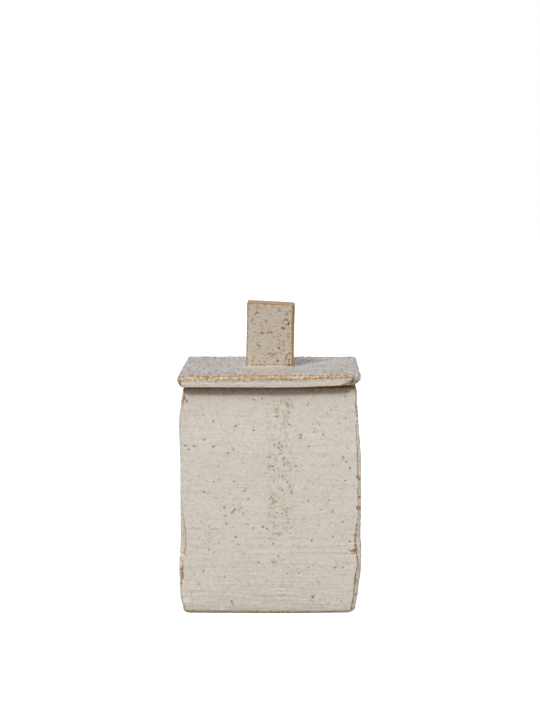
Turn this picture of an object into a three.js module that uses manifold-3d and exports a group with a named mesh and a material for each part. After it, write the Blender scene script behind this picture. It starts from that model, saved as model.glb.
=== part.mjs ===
// A lidded stoneware box, built from slabs of clay: a square body like a small house, an overhanging
// slab for a lid, and a hollow square knob in the shape of a chimney.
// Millimetres, +Z up. The origin is the middle of the footprint, on the table. The front faces -Y.
import * as THREE from 'three';
import { mergeVertices } from 'three/addons/utils/BufferGeometryUtils.js';
import Module from 'manifold-3d';

const wasm = await Module();
wasm.setup();

// Body
const BODY_WIDTH = 114.4; // across the rim, left to right
const BODY_DEPTH = 114.4; // across the rim, front to back
const BODY_HEIGHT = 152.5;
const WALL = 7; // the rolled slab of the four walls
const BASE = 7.5; // the rolled slab of the floor, set between the walls
const SLIP = 0.3; // the film of slip between two joined slabs
const FOOT_ROUND = 3; // radius of the outer bottom edge
const RIM_ARRIS = 0.8; // bevel on the outer edge of the rim
const UPRIGHT_ARRIS = 0.9; // bevel on the upright edges, up at the rim

// The four walls, anticlockwise from the front as seen from above. Each was a flat slab that moved a
// little of its own accord as it dried and fired:
//   swell     how far the whole wall leans out below its shoulder
//   pillow    how much further it bulges between its corners
//   shoulder  height over which it curves back in under the rim
//   tuck      how far it draws in again at the foot
//   ankle     height of that drawn-in foot
//   bevel     bevel pared on the corner that it shares with the next wall
const WALLS = [
  { name: 'front', swell: 1.6, pillow: 1.0, shoulder: 34, tuck: 2.2, ankle: 18, bevel: 2.9 },
  { name: 'right', swell: 3.3, pillow: 0.6, shoulder: 48, tuck: 3.5, ankle: 30, bevel: 2.2 },
  { name: 'back', swell: 2.0, pillow: 0.8, shoulder: 38, tuck: 2.4, ankle: 22, bevel: 2.5 },
  { name: 'left', swell: 2.6, pillow: 0.5, shoulder: 28, tuck: 2.7, ankle: 14, bevel: 1.4 },
];

// Coils of clay pressed into the inner seams
const COIL = 4.5; // how far a coil spreads over each slab
const COIL_EDGE = 0.6; // thickness left at its smoothed-out edge
const COIL_STOP = 2; // the upright coils end this far below the flange of the lid

// Lid
const LID_THICKNESS = 7.8;
const LID_OVERHANG = 3.4; // past the rim, on every side
const LID_BEVEL = 2.2; // pared off the top edge at the front
const LID_SIDE_BEVEL = 0.8; // the narrower bevel of the other three top edges
const LID_UNDERCUT = 2.4; // how far the edge slopes in towards the underside
const LID_BELLY = 0.45; // height of the edge's widest line, as a share of the thickness
const LID_WARP = 1.2; // lift of the front right corner
const LID_CLIPS = { frontLeft: 2.3, frontRight: 5.2, backRight: 2.4, backLeft: 2 };
const SEAT_GAP = 0.3; // between the rim and the lid that rests on it
const VENT_HOLE = 6; // diameter of the hole that lets air out of the hollow knob

// Locating flange under the lid
const FLANGE_DEPTH = 9;
const FLANGE_WIDTH = 6;
const FLANGE_PLAY = 1.5; // between the flange and the inside of the rim
const FLANGE_LEAD = 2; // bevel that guides the flange into the mouth

// Knob
const KNOB_WIDTH = 32.2;
const KNOB_DEPTH = 27;
const KNOB_HEIGHT = 43.6;
const KNOB_WALL = 5;
const KNOB_CAP = 5;
const KNOB_SETBACK = 2.5; // its middle sits this far behind the middle of the lid
const KNOB_ASIDE = -0.5; // and this far to the right, so here to the left
const KNOB_LEAN = 0.8; // its top stands this far to the right of its foot
const KNOB_DROP = 1.5; // its top falls by this much from left to right
const KNOB_ARRIS = 1.1; // bevel on its upright edges
const CAP_ARRIS = 0.7; // bevel round the top of the cap

// Fineness of the facets
const WALL_COLUMNS = 6;
const ANKLE_ROWS = 8;
const MIDDLE_ROWS = 3;
const SHOULDER_ROWS = 8;
const ROUND_STEPS = 3;
const COIL_STEPS = 4;
const LID_CELLS = 14;
const STRIP_STEPS = 6;

const QUARTER = Math.PI / 2;
const UP = new THREE.Vector3(0, 0, 1);
const MITRE_GAP = SLIP / Math.SQRT2; // what each slab gives up along its length at a mitre
const SEAT = BODY_HEIGHT + SEAT_GAP; // height of the lid's underside

const sideAfter = (i) => (i + 1) % WALLS.length;
const sideBefore = (i) => (i + WALLS.length - 1) % WALLS.length;
const halfAcross = (i, width, depth) => (i % 2 === 0 ? depth : width) / 2;
const blend = THREE.MathUtils.lerp;
const spread = (from, to, steps) =>
  Array.from({ length: steps + 1 }, (_, k) => blend(from, to, k / steps));

// Materials

const clay = (color, roughness) => new THREE.MeshStandardMaterial({ color, roughness, metalness: 0 });
const glaze = () => clay(0xcfc9be, 0.45);
const bareClay = () => clay(0xb59b7d, 0.85);

// Geometry helpers

function geometryOf(points, faces) {
  const geometry = new THREE.BufferGeometry();
  const positions = points.flatMap((point) => [point.x, point.y, point.z]);
  geometry.setAttribute('position', new THREE.Float32BufferAttribute(positions, 3));
  geometry.setIndex(faces.flat());
  return geometry;
}

function signedVolume(points, faces) {
  const normal = new THREE.Vector3();
  let total = 0;
  for (const [a, b, c] of faces) {
    total += normal.crossVectors(points[b], points[c]).dot(points[a]);
  }
  return total / 6;
}

// A closed solid through a stack of rings, which all have as many points as the outline. The outline
// is the flat shape of the rings, and gives the triangles that close both ends.
function loft(rings, outline) {
  const clockwise = THREE.ShapeUtils.isClockWise(outline);
  const turned = (list) => (clockwise ? [...list].reverse() : list);
  const points = rings.flatMap(turned);
  const count = outline.length;
  const last = points.length - count;
  const faces = [];
  for (let start = 0; start < last; start += count) {
    for (let j = 0; j < count; j += 1) {
      const here = start + j;
      const next = start + ((j + 1) % count);
      faces.push([here, next, next + count], [here, next + count, here + count]);
    }
  }
  for (const [a, b, c] of THREE.ShapeUtils.triangulateShape(turned(outline), [])) {
    faces.push([a, c, b], [last + a, last + b, last + c]);
  }
  const outward = signedVolume(points, faces) > 0;
  return geometryOf(points, outward ? faces : faces.map(([a, b, c]) => [a, c, b]));
}

function solidOf(geometry) {
  const bare = geometry.clone();
  bare.deleteAttribute('normal');
  bare.deleteAttribute('uv');
  const merged = mergeVertices(bare, 1e-4);
  return new wasm.Manifold(
    new wasm.Mesh({
      numProp: 3,
      vertProperties: new Float32Array(merged.attributes.position.array),
      triVerts: new Uint32Array(merged.index.array),
    }),
  );
}

function geometryOfSolid(solid) {
  const mesh = solid.getMesh();
  const geometry = new THREE.BufferGeometry();
  geometry.setAttribute('position', new THREE.Float32BufferAttribute(mesh.vertProperties, 3));
  geometry.setIndex([...mesh.triVerts]);
  return geometry;
}

function cut(body, tools) {
  const solid = tools.reduce((left, tool) => left.subtract(solidOf(tool)), solidOf(body));
  return geometryOfSolid(solid);
}

// A point near one side of a square plan: along runs anticlockwise past the side, out leaves the middle.
function place(i, along, out, z) {
  return new THREE.Vector3(along, -out, z).applyAxisAngle(UP, i * QUARTER);
}

// Slabs that stand up and are mitred to their neighbours. A form says how far the outer and inner
// faces of each side are from the middle, and how wide the bevel is on the corner after it. Along a
// side, t runs from -1 to 1.
function slabOutline(form, i, z) {
  const before = sideBefore(i);
  const after = sideAfter(i);
  const edges = {
    outer: form.outer(i, 1, z),
    inner: form.inner(i, 1, z),
    bevelBefore: form.bevel(before, z),
    bevelAfter: form.bevel(i, z),
  };
  const outerFrom = -form.outer(before, 1, z) + edges.bevelBefore;
  const outerTo = form.outer(after, 1, z) - edges.bevelAfter;
  const innerFrom = -form.inner(before, 1, z) + MITRE_GAP;
  const innerTo = form.inner(after, 1, z) - MITRE_GAP;
  const corner = (sign, to, bevel) => [to + sign * (bevel / 2 - MITRE_GAP), edges.outer - bevel / 2];
  const steps = spread(0, 1, form.columns);
  const outerFace = steps.map((s) => [blend(outerFrom, outerTo, s), form.outer(i, 2 * s - 1, z)]);
  const innerFace = steps.map((s) => [blend(innerTo, innerFrom, s), form.inner(i, 1 - 2 * s, z)]);
  return [
    corner(-1, outerFrom, edges.bevelBefore),
    ...outerFace,
    corner(1, outerTo, edges.bevelAfter),
    ...innerFace,
  ];
}

function standingSlab(form, i, heights, shift) {
  const outlines = heights.map((z) => slabOutline(form, i, z));
  const rings = outlines.map((outline, k) =>
    outline.map(([along, out]) => shift(place(i, along, out, heights[k]))),
  );
  return loft(rings, outlines[0].map(([along, out]) => new THREE.Vector2(along, out)));
}

// A strip laid along one side, with both ends on the mitres of the square. The section is a list of
// points inward and up from the side, ends(inward) gives where the strip starts and stops, and
// spot(along, inward, up) places a point.
function mitredStrip(section, ends, spot) {
  const rings = spread(0, 1, STRIP_STEPS).map((s) =>
    section.map(([inward, up]) => {
      const [from, to] = ends(inward);
      return spot(blend(from, to, s), inward, up);
    }),
  );
  return loft(rings, section.map(([inward, up]) => new THREE.Vector2(inward, up)));
}

// The section of a seam coil: two flat legs, and a face that a fingertip hollowed out. Grown, the
// section is that much larger on every side.
function coilSection(start, rise, grow = 0) {
  const hollowing = COIL - COIL_EDGE - grow;
  const face = spread(0, QUARTER, COIL_STEPS).map((angle, k) => [
    start + COIL - hollowing * Math.sin(angle) + (k === 0 ? grow : 0),
    rise + COIL - hollowing * Math.cos(angle) + (k === COIL_STEPS ? grow : 0),
  ]);
  return [
    [start - grow, rise - grow],
    [start + COIL + grow, rise - grow],
    ...face,
    [start - grow, rise + COIL + grow],
  ];
}

// Body

// 0 at the rim, 1 from the bottom of the shoulder down
function belowShoulder(wall, z) {
  const drop = THREE.MathUtils.clamp((BODY_HEIGHT - z) / wall.shoulder, 0, 1);
  return Math.sin(drop * QUARTER);
}

// 1 at the table, 0 from the top of the ankle up
function atFoot(wall, z) {
  return 1 - Math.sin(THREE.MathUtils.clamp(z / wall.ankle, 0, 1) * QUARTER);
}

function slabLine(i, t, z) {
  const wall = WALLS[i];
  const lean = wall.swell * belowShoulder(wall, z);
  const bulge = wall.pillow * (1 - t * t) * belowShoulder(wall, z) * (1 - atFoot(wall, z));
  return halfAcross(i, BODY_WIDTH, BODY_DEPTH) + lean + bulge - wall.tuck * atFoot(wall, z);
}

function roundedFoot(z) {
  const below = Math.max(FOOT_ROUND - z, 0);
  return FOOT_ROUND - Math.sqrt(FOOT_ROUND * FOOT_ROUND - below * below);
}

const bodyForm = {
  columns: WALL_COLUMNS,
  outer: (i, t, z) => {
    const arris = Math.max(z - (BODY_HEIGHT - RIM_ARRIS), 0);
    return slabLine(i, t, z) - roundedFoot(z) - arris;
  },
  inner: (i, t, z) => slabLine(i, t, z) - WALL,
  bevel: (i, z) => blend(UPRIGHT_ARRIS, WALLS[i].bevel, belowShoulder(WALLS[i], z)),
};

// Heights of the facets in a wall, closer together where it curves
function bodyHeights() {
  const foot = spread(0, 1, ROUND_STEPS).map((s) => FOOT_ROUND * (1 - Math.cos(s * QUARTER)));
  const ankle = Math.max(...WALLS.map((wall) => wall.ankle));
  const shoulder = BODY_HEIGHT - Math.max(...WALLS.map((wall) => wall.shoulder));
  return [
    ...foot,
    ...spread(FOOT_ROUND, ankle, ANKLE_ROWS).slice(1),
    ...spread(ankle, shoulder, MIDDLE_ROWS).slice(1),
    ...spread(shoulder, BODY_HEIGHT - RIM_ARRIS, SHOULDER_ROWS).slice(1),
    BODY_HEIGHT,
  ];
}

function baseSlab() {
  const steps = spread(0, 1, WALL_COLUMNS).slice(0, -1);
  const ring = (z) =>
    WALLS.flatMap((wall, i) => {
      const from = -bodyForm.inner(sideBefore(i), 1, z) + SLIP;
      const to = bodyForm.inner(sideAfter(i), 1, z) - SLIP;
      return steps.map((s) => place(i, blend(from, to, s), bodyForm.inner(i, 2 * s - 1, z) - SLIP, z));
    });
  const rings = [0, BASE / 2, BASE].map(ring);
  return loft(rings, rings[0].map((point) => new THREE.Vector2(point.x, point.y)));
}

// A coil along the seam between a wall and the floor. Grown, it is the hollow that an upright coil
// leaves round it.
function floorCoil(i, grow = 0) {
  const section = coilSection(SLIP, 0, grow);
  const floor = BASE + SLIP;
  const ends = (inward) => [
    -bodyForm.inner(sideBefore(i), 1, floor) + inward + MITRE_GAP - 2 * grow,
    bodyForm.inner(sideAfter(i), 1, floor) - inward - MITRE_GAP + 2 * grow,
  ];
  return mitredStrip(section, ends, (along, inward, up) => {
    const t = along / bodyForm.inner(sideAfter(i), 1, floor);
    return place(i, along, bodyForm.inner(i, t, floor + up) - inward, floor + up);
  });
}

// A coil in the upright seam after a wall, coped over the two floor coils that it stands on
function cornerCoil(i) {
  const section = coilSection(SLIP, SLIP);
  const from = BASE + SLIP;
  const to = SEAT - FLANGE_DEPTH - COIL_STOP;
  const between = bodyHeights().filter((z) => z > from + SLIP && z < to - SLIP);
  const rings = [from, ...between, to].map((z) =>
    section.map(([a, b]) =>
      place(i, bodyForm.inner(sideAfter(i), 1, z) - a, bodyForm.inner(i, 1, z) - b, z),
    ),
  );
  const post = loft(rings, section.map(([a, b]) => new THREE.Vector2(a, b)));
  return cut(post, [floorCoil(i, SLIP), floorCoil(sideAfter(i), SLIP)]);
}

// Lid

const LID_HALF_WIDTH = BODY_WIDTH / 2 + LID_OVERHANG;
const LID_HALF_DEPTH = BODY_DEPTH / 2 + LID_OVERHANG;

// How far the fired lid has lifted off flat, over a point of its plan
function warp(x, y) {
  const right = THREE.MathUtils.clamp(x / LID_HALF_WIDTH, 0, 1);
  const front = THREE.MathUtils.clamp(-y / LID_HALF_DEPTH, 0, 1);
  return LID_WARP * right * right * front * front;
}

// Heights in the lid's edge, and how far each is set in from the widest line at the front and elsewhere
const LID_EDGE = [
  { up: 0, front: LID_UNDERCUT, others: LID_UNDERCUT },
  { up: LID_THICKNESS * LID_BELLY, front: 0, others: 0 },
  { up: LID_THICKNESS - LID_BEVEL, front: 0, others: 0 },
  { up: LID_THICKNESS, front: LID_BEVEL, others: LID_SIDE_BEVEL },
];

// A wedge that pares one corner of the lid. It lies outside the line that crosses the corner.
function cornerWedge(signX, signY, clip) {
  const size = 2 * clip + LID_OVERHANG;
  const wedge = new THREE.BoxGeometry(size, 4 * size, 4 * LID_THICKNESS);
  wedge.translate(size / 2, 0, SEAT);
  wedge.rotateZ(Math.atan2(signY, signX));
  wedge.translate(signX * (LID_HALF_WIDTH - clip / 2), signY * (LID_HALF_DEPTH - clip / 2), 0);
  return wedge;
}

function lidSlab() {
  const slab = new THREE.BoxGeometry(2, 2, 1, LID_CELLS, LID_CELLS, LID_EDGE.length - 1);
  const corner = slab.attributes.position;
  for (let k = 0; k < corner.count; k += 1) {
    const edge = LID_EDGE[Math.round((corner.getZ(k) + 0.5) * (LID_EDGE.length - 1))];
    const inset = corner.getY(k) < 0 ? edge.front : edge.others;
    const x = corner.getX(k) * (LID_HALF_WIDTH - edge.others);
    const y = corner.getY(k) * (LID_HALF_DEPTH - inset);
    corner.setXYZ(k, x, y, SEAT + edge.up + warp(x, y));
  }
  const vent = new THREE.CylinderGeometry(VENT_HOLE / 2, VENT_HOLE / 2, 4 * LID_THICKNESS, 24);
  vent.rotateX(QUARTER);
  vent.translate(KNOB_ASIDE, KNOB_SETBACK, SEAT);
  return cut(slab, [
    vent,
    cornerWedge(-1, -1, LID_CLIPS.frontLeft),
    cornerWedge(1, -1, LID_CLIPS.frontRight),
    cornerWedge(1, 1, LID_CLIPS.backRight),
    cornerWedge(-1, 1, LID_CLIPS.backLeft),
  ]);
}

// One of the four strips under the lid that drop inside the rim. Its top follows the warped lid.
function flangeStrip(i) {
  const outside = (j) => halfAcross(j, BODY_WIDTH, BODY_DEPTH) - WALL - FLANGE_PLAY;
  const section = [
    [0, 0],
    [FLANGE_WIDTH, 0],
    [FLANGE_WIDTH, -FLANGE_DEPTH],
    [FLANGE_LEAD, -FLANGE_DEPTH],
    [0, FLANGE_LEAD - FLANGE_DEPTH],
  ];
  const ends = (inward) => [
    -outside(sideBefore(i)) + inward + MITRE_GAP,
    outside(sideAfter(i)) - inward - MITRE_GAP,
  ];
  return mitredStrip(section, ends, (along, inward, up) => {
    const point = place(i, along, outside(i) - inward, SEAT - SLIP + up);
    point.z += up === 0 ? warp(point.x, point.y) : 0;
    return point;
  });
}

// Knob

const KNOB_FOOT = SEAT + LID_THICKNESS + SLIP;
const CAP_HEIGHT = KNOB_HEIGHT - KNOB_CAP - SLIP; // top of the knob's walls, above its foot

const knobForm = {
  columns: 1,
  outer: (i) => halfAcross(i, KNOB_WIDTH, KNOB_DEPTH),
  inner: (i) => halfAcross(i, KNOB_WIDTH, KNOB_DEPTH) - KNOB_WALL,
  bevel: () => KNOB_ARRIS,
};

// The knob was made square, then it leaned to the right and its top was cut on a slope.
function settleKnob(point) {
  const share = point.z / KNOB_HEIGHT;
  const slope = -KNOB_DROP * (point.x / KNOB_WIDTH) * share;
  return new THREE.Vector3(
    point.x + KNOB_ASIDE + KNOB_LEAN * share,
    point.y + KNOB_SETBACK,
    KNOB_FOOT + point.z + slope,
  );
}

function knobWall(i) {
  return standingSlab(knobForm, i, [0, CAP_HEIGHT / 2, CAP_HEIGHT], settleKnob);
}

function knobCap() {
  const ring = (z, inset) => {
    const x = KNOB_WIDTH / 2 - inset;
    const y = KNOB_DEPTH / 2 - inset;
    const bevel = KNOB_ARRIS;
    return [
      [x - bevel, -y], [x, bevel - y], [x, y - bevel], [x - bevel, y],
      [bevel - x, y], [-x, y - bevel], [-x, bevel - y], [bevel - x, -y],
    ].map(([px, py]) => settleKnob(new THREE.Vector3(px, py, z)));
  };
  const rings = [
    ring(KNOB_HEIGHT - KNOB_CAP, 0),
    ring(KNOB_HEIGHT - CAP_ARRIS, 0),
    ring(KNOB_HEIGHT, CAP_ARRIS),
  ];
  return loft(rings, rings[0].map((point) => new THREE.Vector2(point.x, point.y)));
}

// The box, put together

const box = new THREE.Group();

function add(group, name, geometry, material) {
  geometry.computeVertexNormals();
  const mesh = new THREE.Mesh(geometry, material);
  mesh.name = name;
  group.add(mesh);
}

const body = new THREE.Group();
const lid = new THREE.Group();
box.add(body, lid);

add(body, 'base_slab', baseSlab(), bareClay());
WALLS.forEach((wall, i) => {
  const seam = `${wall.name}_${WALLS[sideAfter(i)].name}`;
  add(body, `${wall.name}_wall`, standingSlab(bodyForm, i, bodyHeights(), (point) => point), glaze());
  add(body, `${wall.name}_floor_coil`, floorCoil(i), glaze());
  add(body, `${seam}_coil`, cornerCoil(i), glaze());
});

add(lid, 'lid_slab', lidSlab(), glaze());
WALLS.forEach((wall, i) => {
  add(lid, `${wall.name}_flange_strip`, flangeStrip(i), bareClay());
  add(lid, `knob_${wall.name}`, knobWall(i), glaze());
});
add(lid, 'knob_cap', knobCap(), glaze());

export default box;
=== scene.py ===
# %% [markdown]
# # A slab-built stoneware box
# The real box was cut from rolled sheets of clay: four walls mitred round a floor, a thick slab for
# a lid, and a small hollow chimney as its knob. It was dipped in a satin white glaze that runs thin
# on every edge, so the iron in the clay burns through there as brown.
# The packed model brings the sizes and the two bodies, the box and the lid that lifts off it. Each of
# its solids is replaced here by a finely meshed skin of the same piece, so that swells, dents, pared
# edges and grit are real shape, and only the finest grain is left to the materials.

# %% The packed frame
import math

import bpy
import numpy as np
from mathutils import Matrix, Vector


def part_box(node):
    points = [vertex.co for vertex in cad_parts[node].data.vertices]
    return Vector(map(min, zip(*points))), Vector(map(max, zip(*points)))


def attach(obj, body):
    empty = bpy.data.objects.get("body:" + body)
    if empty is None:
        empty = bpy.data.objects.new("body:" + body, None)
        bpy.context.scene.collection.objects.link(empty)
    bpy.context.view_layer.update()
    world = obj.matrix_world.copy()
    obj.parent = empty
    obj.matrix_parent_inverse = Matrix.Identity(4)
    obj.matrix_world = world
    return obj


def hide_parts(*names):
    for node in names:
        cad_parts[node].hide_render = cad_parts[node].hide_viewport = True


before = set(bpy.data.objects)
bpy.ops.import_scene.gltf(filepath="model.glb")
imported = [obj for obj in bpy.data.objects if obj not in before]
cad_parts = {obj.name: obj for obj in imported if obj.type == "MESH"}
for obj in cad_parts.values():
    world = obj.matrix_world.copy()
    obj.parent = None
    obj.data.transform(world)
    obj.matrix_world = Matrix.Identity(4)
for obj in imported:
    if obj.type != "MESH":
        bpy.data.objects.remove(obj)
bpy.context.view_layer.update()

MM = 0.001  # the script works in millimetres, and the scene is in metres


def span(node):
    """Lowest and highest corner of a packed node, in millimetres."""
    low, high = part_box(node)
    return np.array(low) / MM, np.array(high) / MM


# %% [markdown]
# ## Sizes that everything shares
# The heights are read from the packed solids. The rim's half width is the one line that all four
# walls lean away from, and the slab's thickness sets the inside.

# %% Sizes from the frame
RIM = span("front_wall")[1][2]  # height of the rim
SEAT = span("lid_slab")[0][2]  # underside of the lid
KNOB_FOOT = span("knob_front")[0][2]
FLOOR = span("base_slab")[1][2]  # top of the floor slab
HALF_RIM = 57.2  # half the width across the rim
WALL = 7.0
LID_HALF = 60.6
LID_THICK = 7.8
print("rim", round(RIM, 1), "seat", round(SEAT, 1), "knob foot", round(KNOB_FOOT, 1))

# %% [markdown]
# ## The camera
# The picture was taken from a little above the lid with a long lens, so upright edges stay almost
# parallel and the lid's top is a thin strip. A camera that is only turned and tilted, with no shift,
# is enough to repeat that.

# %% Camera
SENSOR = 36.0
FOCAL_SHARE = 1831.4 / 720  # focal length over picture height
CAMERA_PLACE = (0.02346, -1.25704, 0.29647)
CAMERA_DOWN = math.radians(5.992)
CAMERA_LEFT = math.radians(1.087)

lens = bpy.data.cameras.new("camera")
lens.sensor_width = SENSOR
lens.lens = SENSOR * FOCAL_SHARE
lens.dof.use_dof = False
camera = bpy.data.objects.new("camera", lens)
camera.location = CAMERA_PLACE
camera.rotation_euler = (math.pi / 2 - CAMERA_DOWN, 0, CAMERA_LEFT)
bpy.context.scene.collection.objects.link(camera)
bpy.context.scene.camera = camera
bpy.context.scene.view_settings.view_transform = "Standard"
print("lens", round(lens.lens, 1), "mm")

# %% [markdown]
# ## Writing materials as sums
# A finish on this box is a stack of simple rules: where the glaze is thin it is brown, where a grain
# of iron sits it is dark, and so on. The nodes for that are many but plain, so a small class lets a
# material be written like arithmetic. All positions in it are millimetres on the piece itself, so
# the finish stays on the lid when the lid is lifted.


# %% Numbers that a material works out
class Value:
    """What a node gives, so that rules can be written as sums."""

    def __init__(self, finish, socket):
        self.finish, self.socket = finish, socket

    def __add__(self, other):
        return self.finish.math("ADD", self, other)

    def __sub__(self, other):
        return self.finish.math("SUBTRACT", self, other)

    def __mul__(self, other):
        return self.finish.math("MULTIPLY", self, other)

    __radd__ = __add__
    __rmul__ = __mul__

    def other(self, name):
        """Another output of the same node."""
        return Value(self.finish, self.socket.node.outputs[name])


# %% A class for node materials
SHAKE_SCALE = 0.9  # of the noise that shakes the rims of grains and marks
SHAKE = 2.4  # and how strongly it does, in millimetres
SEED_MOVES = (3.7, 5.3, 7.9)  # how far each seed moves a material's noise


class Finish:
    """A material in the making. Its base colour is laid on coat by coat."""

    def __init__(self, name, base=None):
        self.material = bpy.data.materials.new(name)
        self.material.use_nodes = True
        self.tree = self.material.node_tree
        self.shader = self.tree.nodes["Principled BSDF"]
        self.base = base
        place = self.node("ShaderNodeTexCoord", "Object")
        self.place = self.vector("MULTIPLY", place, [1 / MM] * 3)
        wave = {"Vector": self.place, "Scale": SHAKE_SCALE, "Detail": 2.0}
        shake = self.vector("SUBTRACT", self.node("ShaderNodeTexNoise", "Color", wave), [0.5] * 3)
        self.shaken = self.vector("ADD", self.place, self.vector("MULTIPLY", shake, [SHAKE] * 3))

    def node(self, kind, output, fed=(), **settings):
        """One output of a new node, with its inputs fed by name or number."""
        node = self.tree.nodes.new(kind)
        for name, value in settings.items():
            setattr(node, name, value)
        for socket, value in dict(fed).items():
            self.feed(node.inputs[socket], value)
        return Value(self, node.outputs[output])

    def feed(self, socket, value):
        if isinstance(value, Value):
            self.tree.links.new(value.socket, socket)
        else:
            socket.default_value = value

    def math(self, operation, *values, clamp=False):
        fed = enumerate(values)
        return self.node("ShaderNodeMath", 0, fed, operation=operation, use_clamp=clamp)

    def vector(self, operation, *values):
        output = "Value" if operation == "DISTANCE" else "Vector"
        return self.node("ShaderNodeVectorMath", output, enumerate(values), operation=operation)

    def fold(self, operation, first, *others):
        for value in others:
            first = self.math(operation, first, value)
        return first

    def most(self, *values):
        return self.fold("MAXIMUM", *values)

    def least(self, *values):
        return self.fold("MINIMUM", *values)

    def step(self, value, low, high, bottom=0.0, top=1.0):
        """Bottom up to low, top from high, and a smooth change between. High may be below low."""
        fed = {"Value": value, "From Min": low, "From Max": high, "To Min": bottom, "To Max": top}
        return self.node("ShaderNodeMapRange", "Result", fed, interpolation_type="SMOOTHSTEP")

    def axes(self):
        """Across, deep and up on the piece."""
        x = self.node("ShaderNodeSeparateXYZ", "X", {0: self.place})
        return x, x.other("Y"), x.other("Z")

    def spot(self, place, stretch, seed):
        """A place, stretched, and moved to a part of the noise of its own."""
        grown = tuple(1 / s for s in stretch)
        moved = self.vector("MULTIPLY", place, grown)
        return self.vector("ADD", moved, [seed * move for move in SEED_MOVES])

    def noise(self, size, seed, stretch=(1, 1, 1), detail=2.0):
        """Noise from about 0 to 1, with lumps that are size millimetres across."""
        fed = {"Vector": self.spot(self.place, stretch, seed), "Scale": 1 / size, "Detail": detail}
        return self.node("ShaderNodeTexNoise", "Fac", fed)

    def grains(self, size, seed, stretch=(1, 1, 1)):
        """Distance in millimetres to the nearest of many scattered grains, size apart, and a random
        number for that grain."""
        fed = {"Vector": self.spot(self.shaken, stretch, seed), "Scale": 1 / size}
        away = self.node("ShaderNodeTexVoronoi", "Distance", fed)
        return away * size, self.node("ShaderNodeSeparateColor", "Red", {"Color": away.other("Color")})

    def carried(self, name):
        """A value that the mesh carries at its points."""
        return self.node("ShaderNodeAttribute", "Fac", attribute_name=name)

    def mix(self, first, second, share):
        fed = {"Factor": share, 6: first, 7: second}
        return self.node("ShaderNodeMix", 2, fed, data_type="RGBA")

    def coat(self, tint, share):
        """Lays a colour over the base, as thick as its share."""
        self.base = self.mix(self.base, tint, share)

    def marks(self, places, reach):
        """How far outside the nearest of some marks a point is, in millimetres. Each mark is a
        place and a radius. A reach over 1 lets a mark lie a little before or behind the surface."""
        here = self.vector("MULTIPLY", self.shaken, (1, 1 / reach, 1))
        return self.least(100.0, *(
            self.vector("DISTANCE", here, (x, y / reach, z)) - radius for x, y, z, radius in places
        ))

    def put(self, socket, value):
        self.feed(self.shader.inputs[socket], value)

    def bump(self, height):
        """Raises the surface by a height in millimetres."""
        fed = {"Strength": 1.0, "Distance": MM, "Height": height}
        self.put("Normal", self.node("ShaderNodeBump", "Normal", fed))

    def done(self):
        """The finished material, with its coats on the shader."""
        self.put("Base Color", self.base)
        print("finish", self.material.name, "with", len(self.tree.nodes), "nodes")
        return self.material


def colour(red, green, blue):
    return (red, green, blue, 1.0)


def shaded(whole, shade):
    return colour(*(part * share for part, share in zip(whole, shade)))


print("a finish can", ", ".join(name for name in vars(Finish) if name[0] != "_"))

# %% [markdown]
# ## The satin white glaze
# A satin glaze over iron-bearing stoneware is never one colour. It is warm white where it is thick,
# tan where it is thin, and brown where an edge or a bump pulls it off. Each mesh carries four numbers
# for that: `thin`, from how sharply the surface turns outward there, `worn` for places that were
# rubbed, `flat` for where a cool grey is painted, and `bare` where the potter wiped it off. That grey
# is painted shade and painted reflection: it stands for the cool reflection and weaker light on the
# lid's top seen at a grazing angle, and for shade on a few facets and on the upper walls. On the walls
# `worn` also holds painted shade under the lid, and on the lid a painted warm reflection of the knob.
# Grains of iron and pinholes come from scattered points, and brush strokes from noise that is
# stretched sideways. Painting this by hand on an image would look right from one side only, while
# rules like these go all the way round.

# %% Colours of clay and glaze
THICK_GLAZE = colour(0.70, 0.668, 0.612)
COOL_GLAZE = colour(0.672, 0.652, 0.612)
# painted shade and painted reflection: the cool grey laid on the lid's top, its shaded facets and the
# upper walls
PAINTED_SHADE_GREY = colour(0.55, 0.55, 0.555)
THIN_GLAZE = colour(0.53, 0.43, 0.31)
EDGE_BROWN = colour(0.36, 0.20, 0.082)
DARK_EDGE = colour(0.17, 0.095, 0.05)
MARK_BROWN = colour(0.31, 0.155, 0.042)
IRON = colour(0.20, 0.105, 0.045)
PINHOLE = colour(0.035, 0.027, 0.022)
PALE_GLAZE = colour(0.84, 0.83, 0.79)
TOASTED_CLAY = colour(0.34, 0.195, 0.095)
PALE_CLAY = colour(0.55, 0.40, 0.255)
GROG = colour(0.70, 0.58, 0.44)
print("thick glaze", THICK_GLAZE[:3], "and toasted clay", TOASTED_CLAY[:3])


# %% Iron and pinholes
CORNER_REACH = 4.0  # marks on a pared edge reach less far than those on a face


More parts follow.
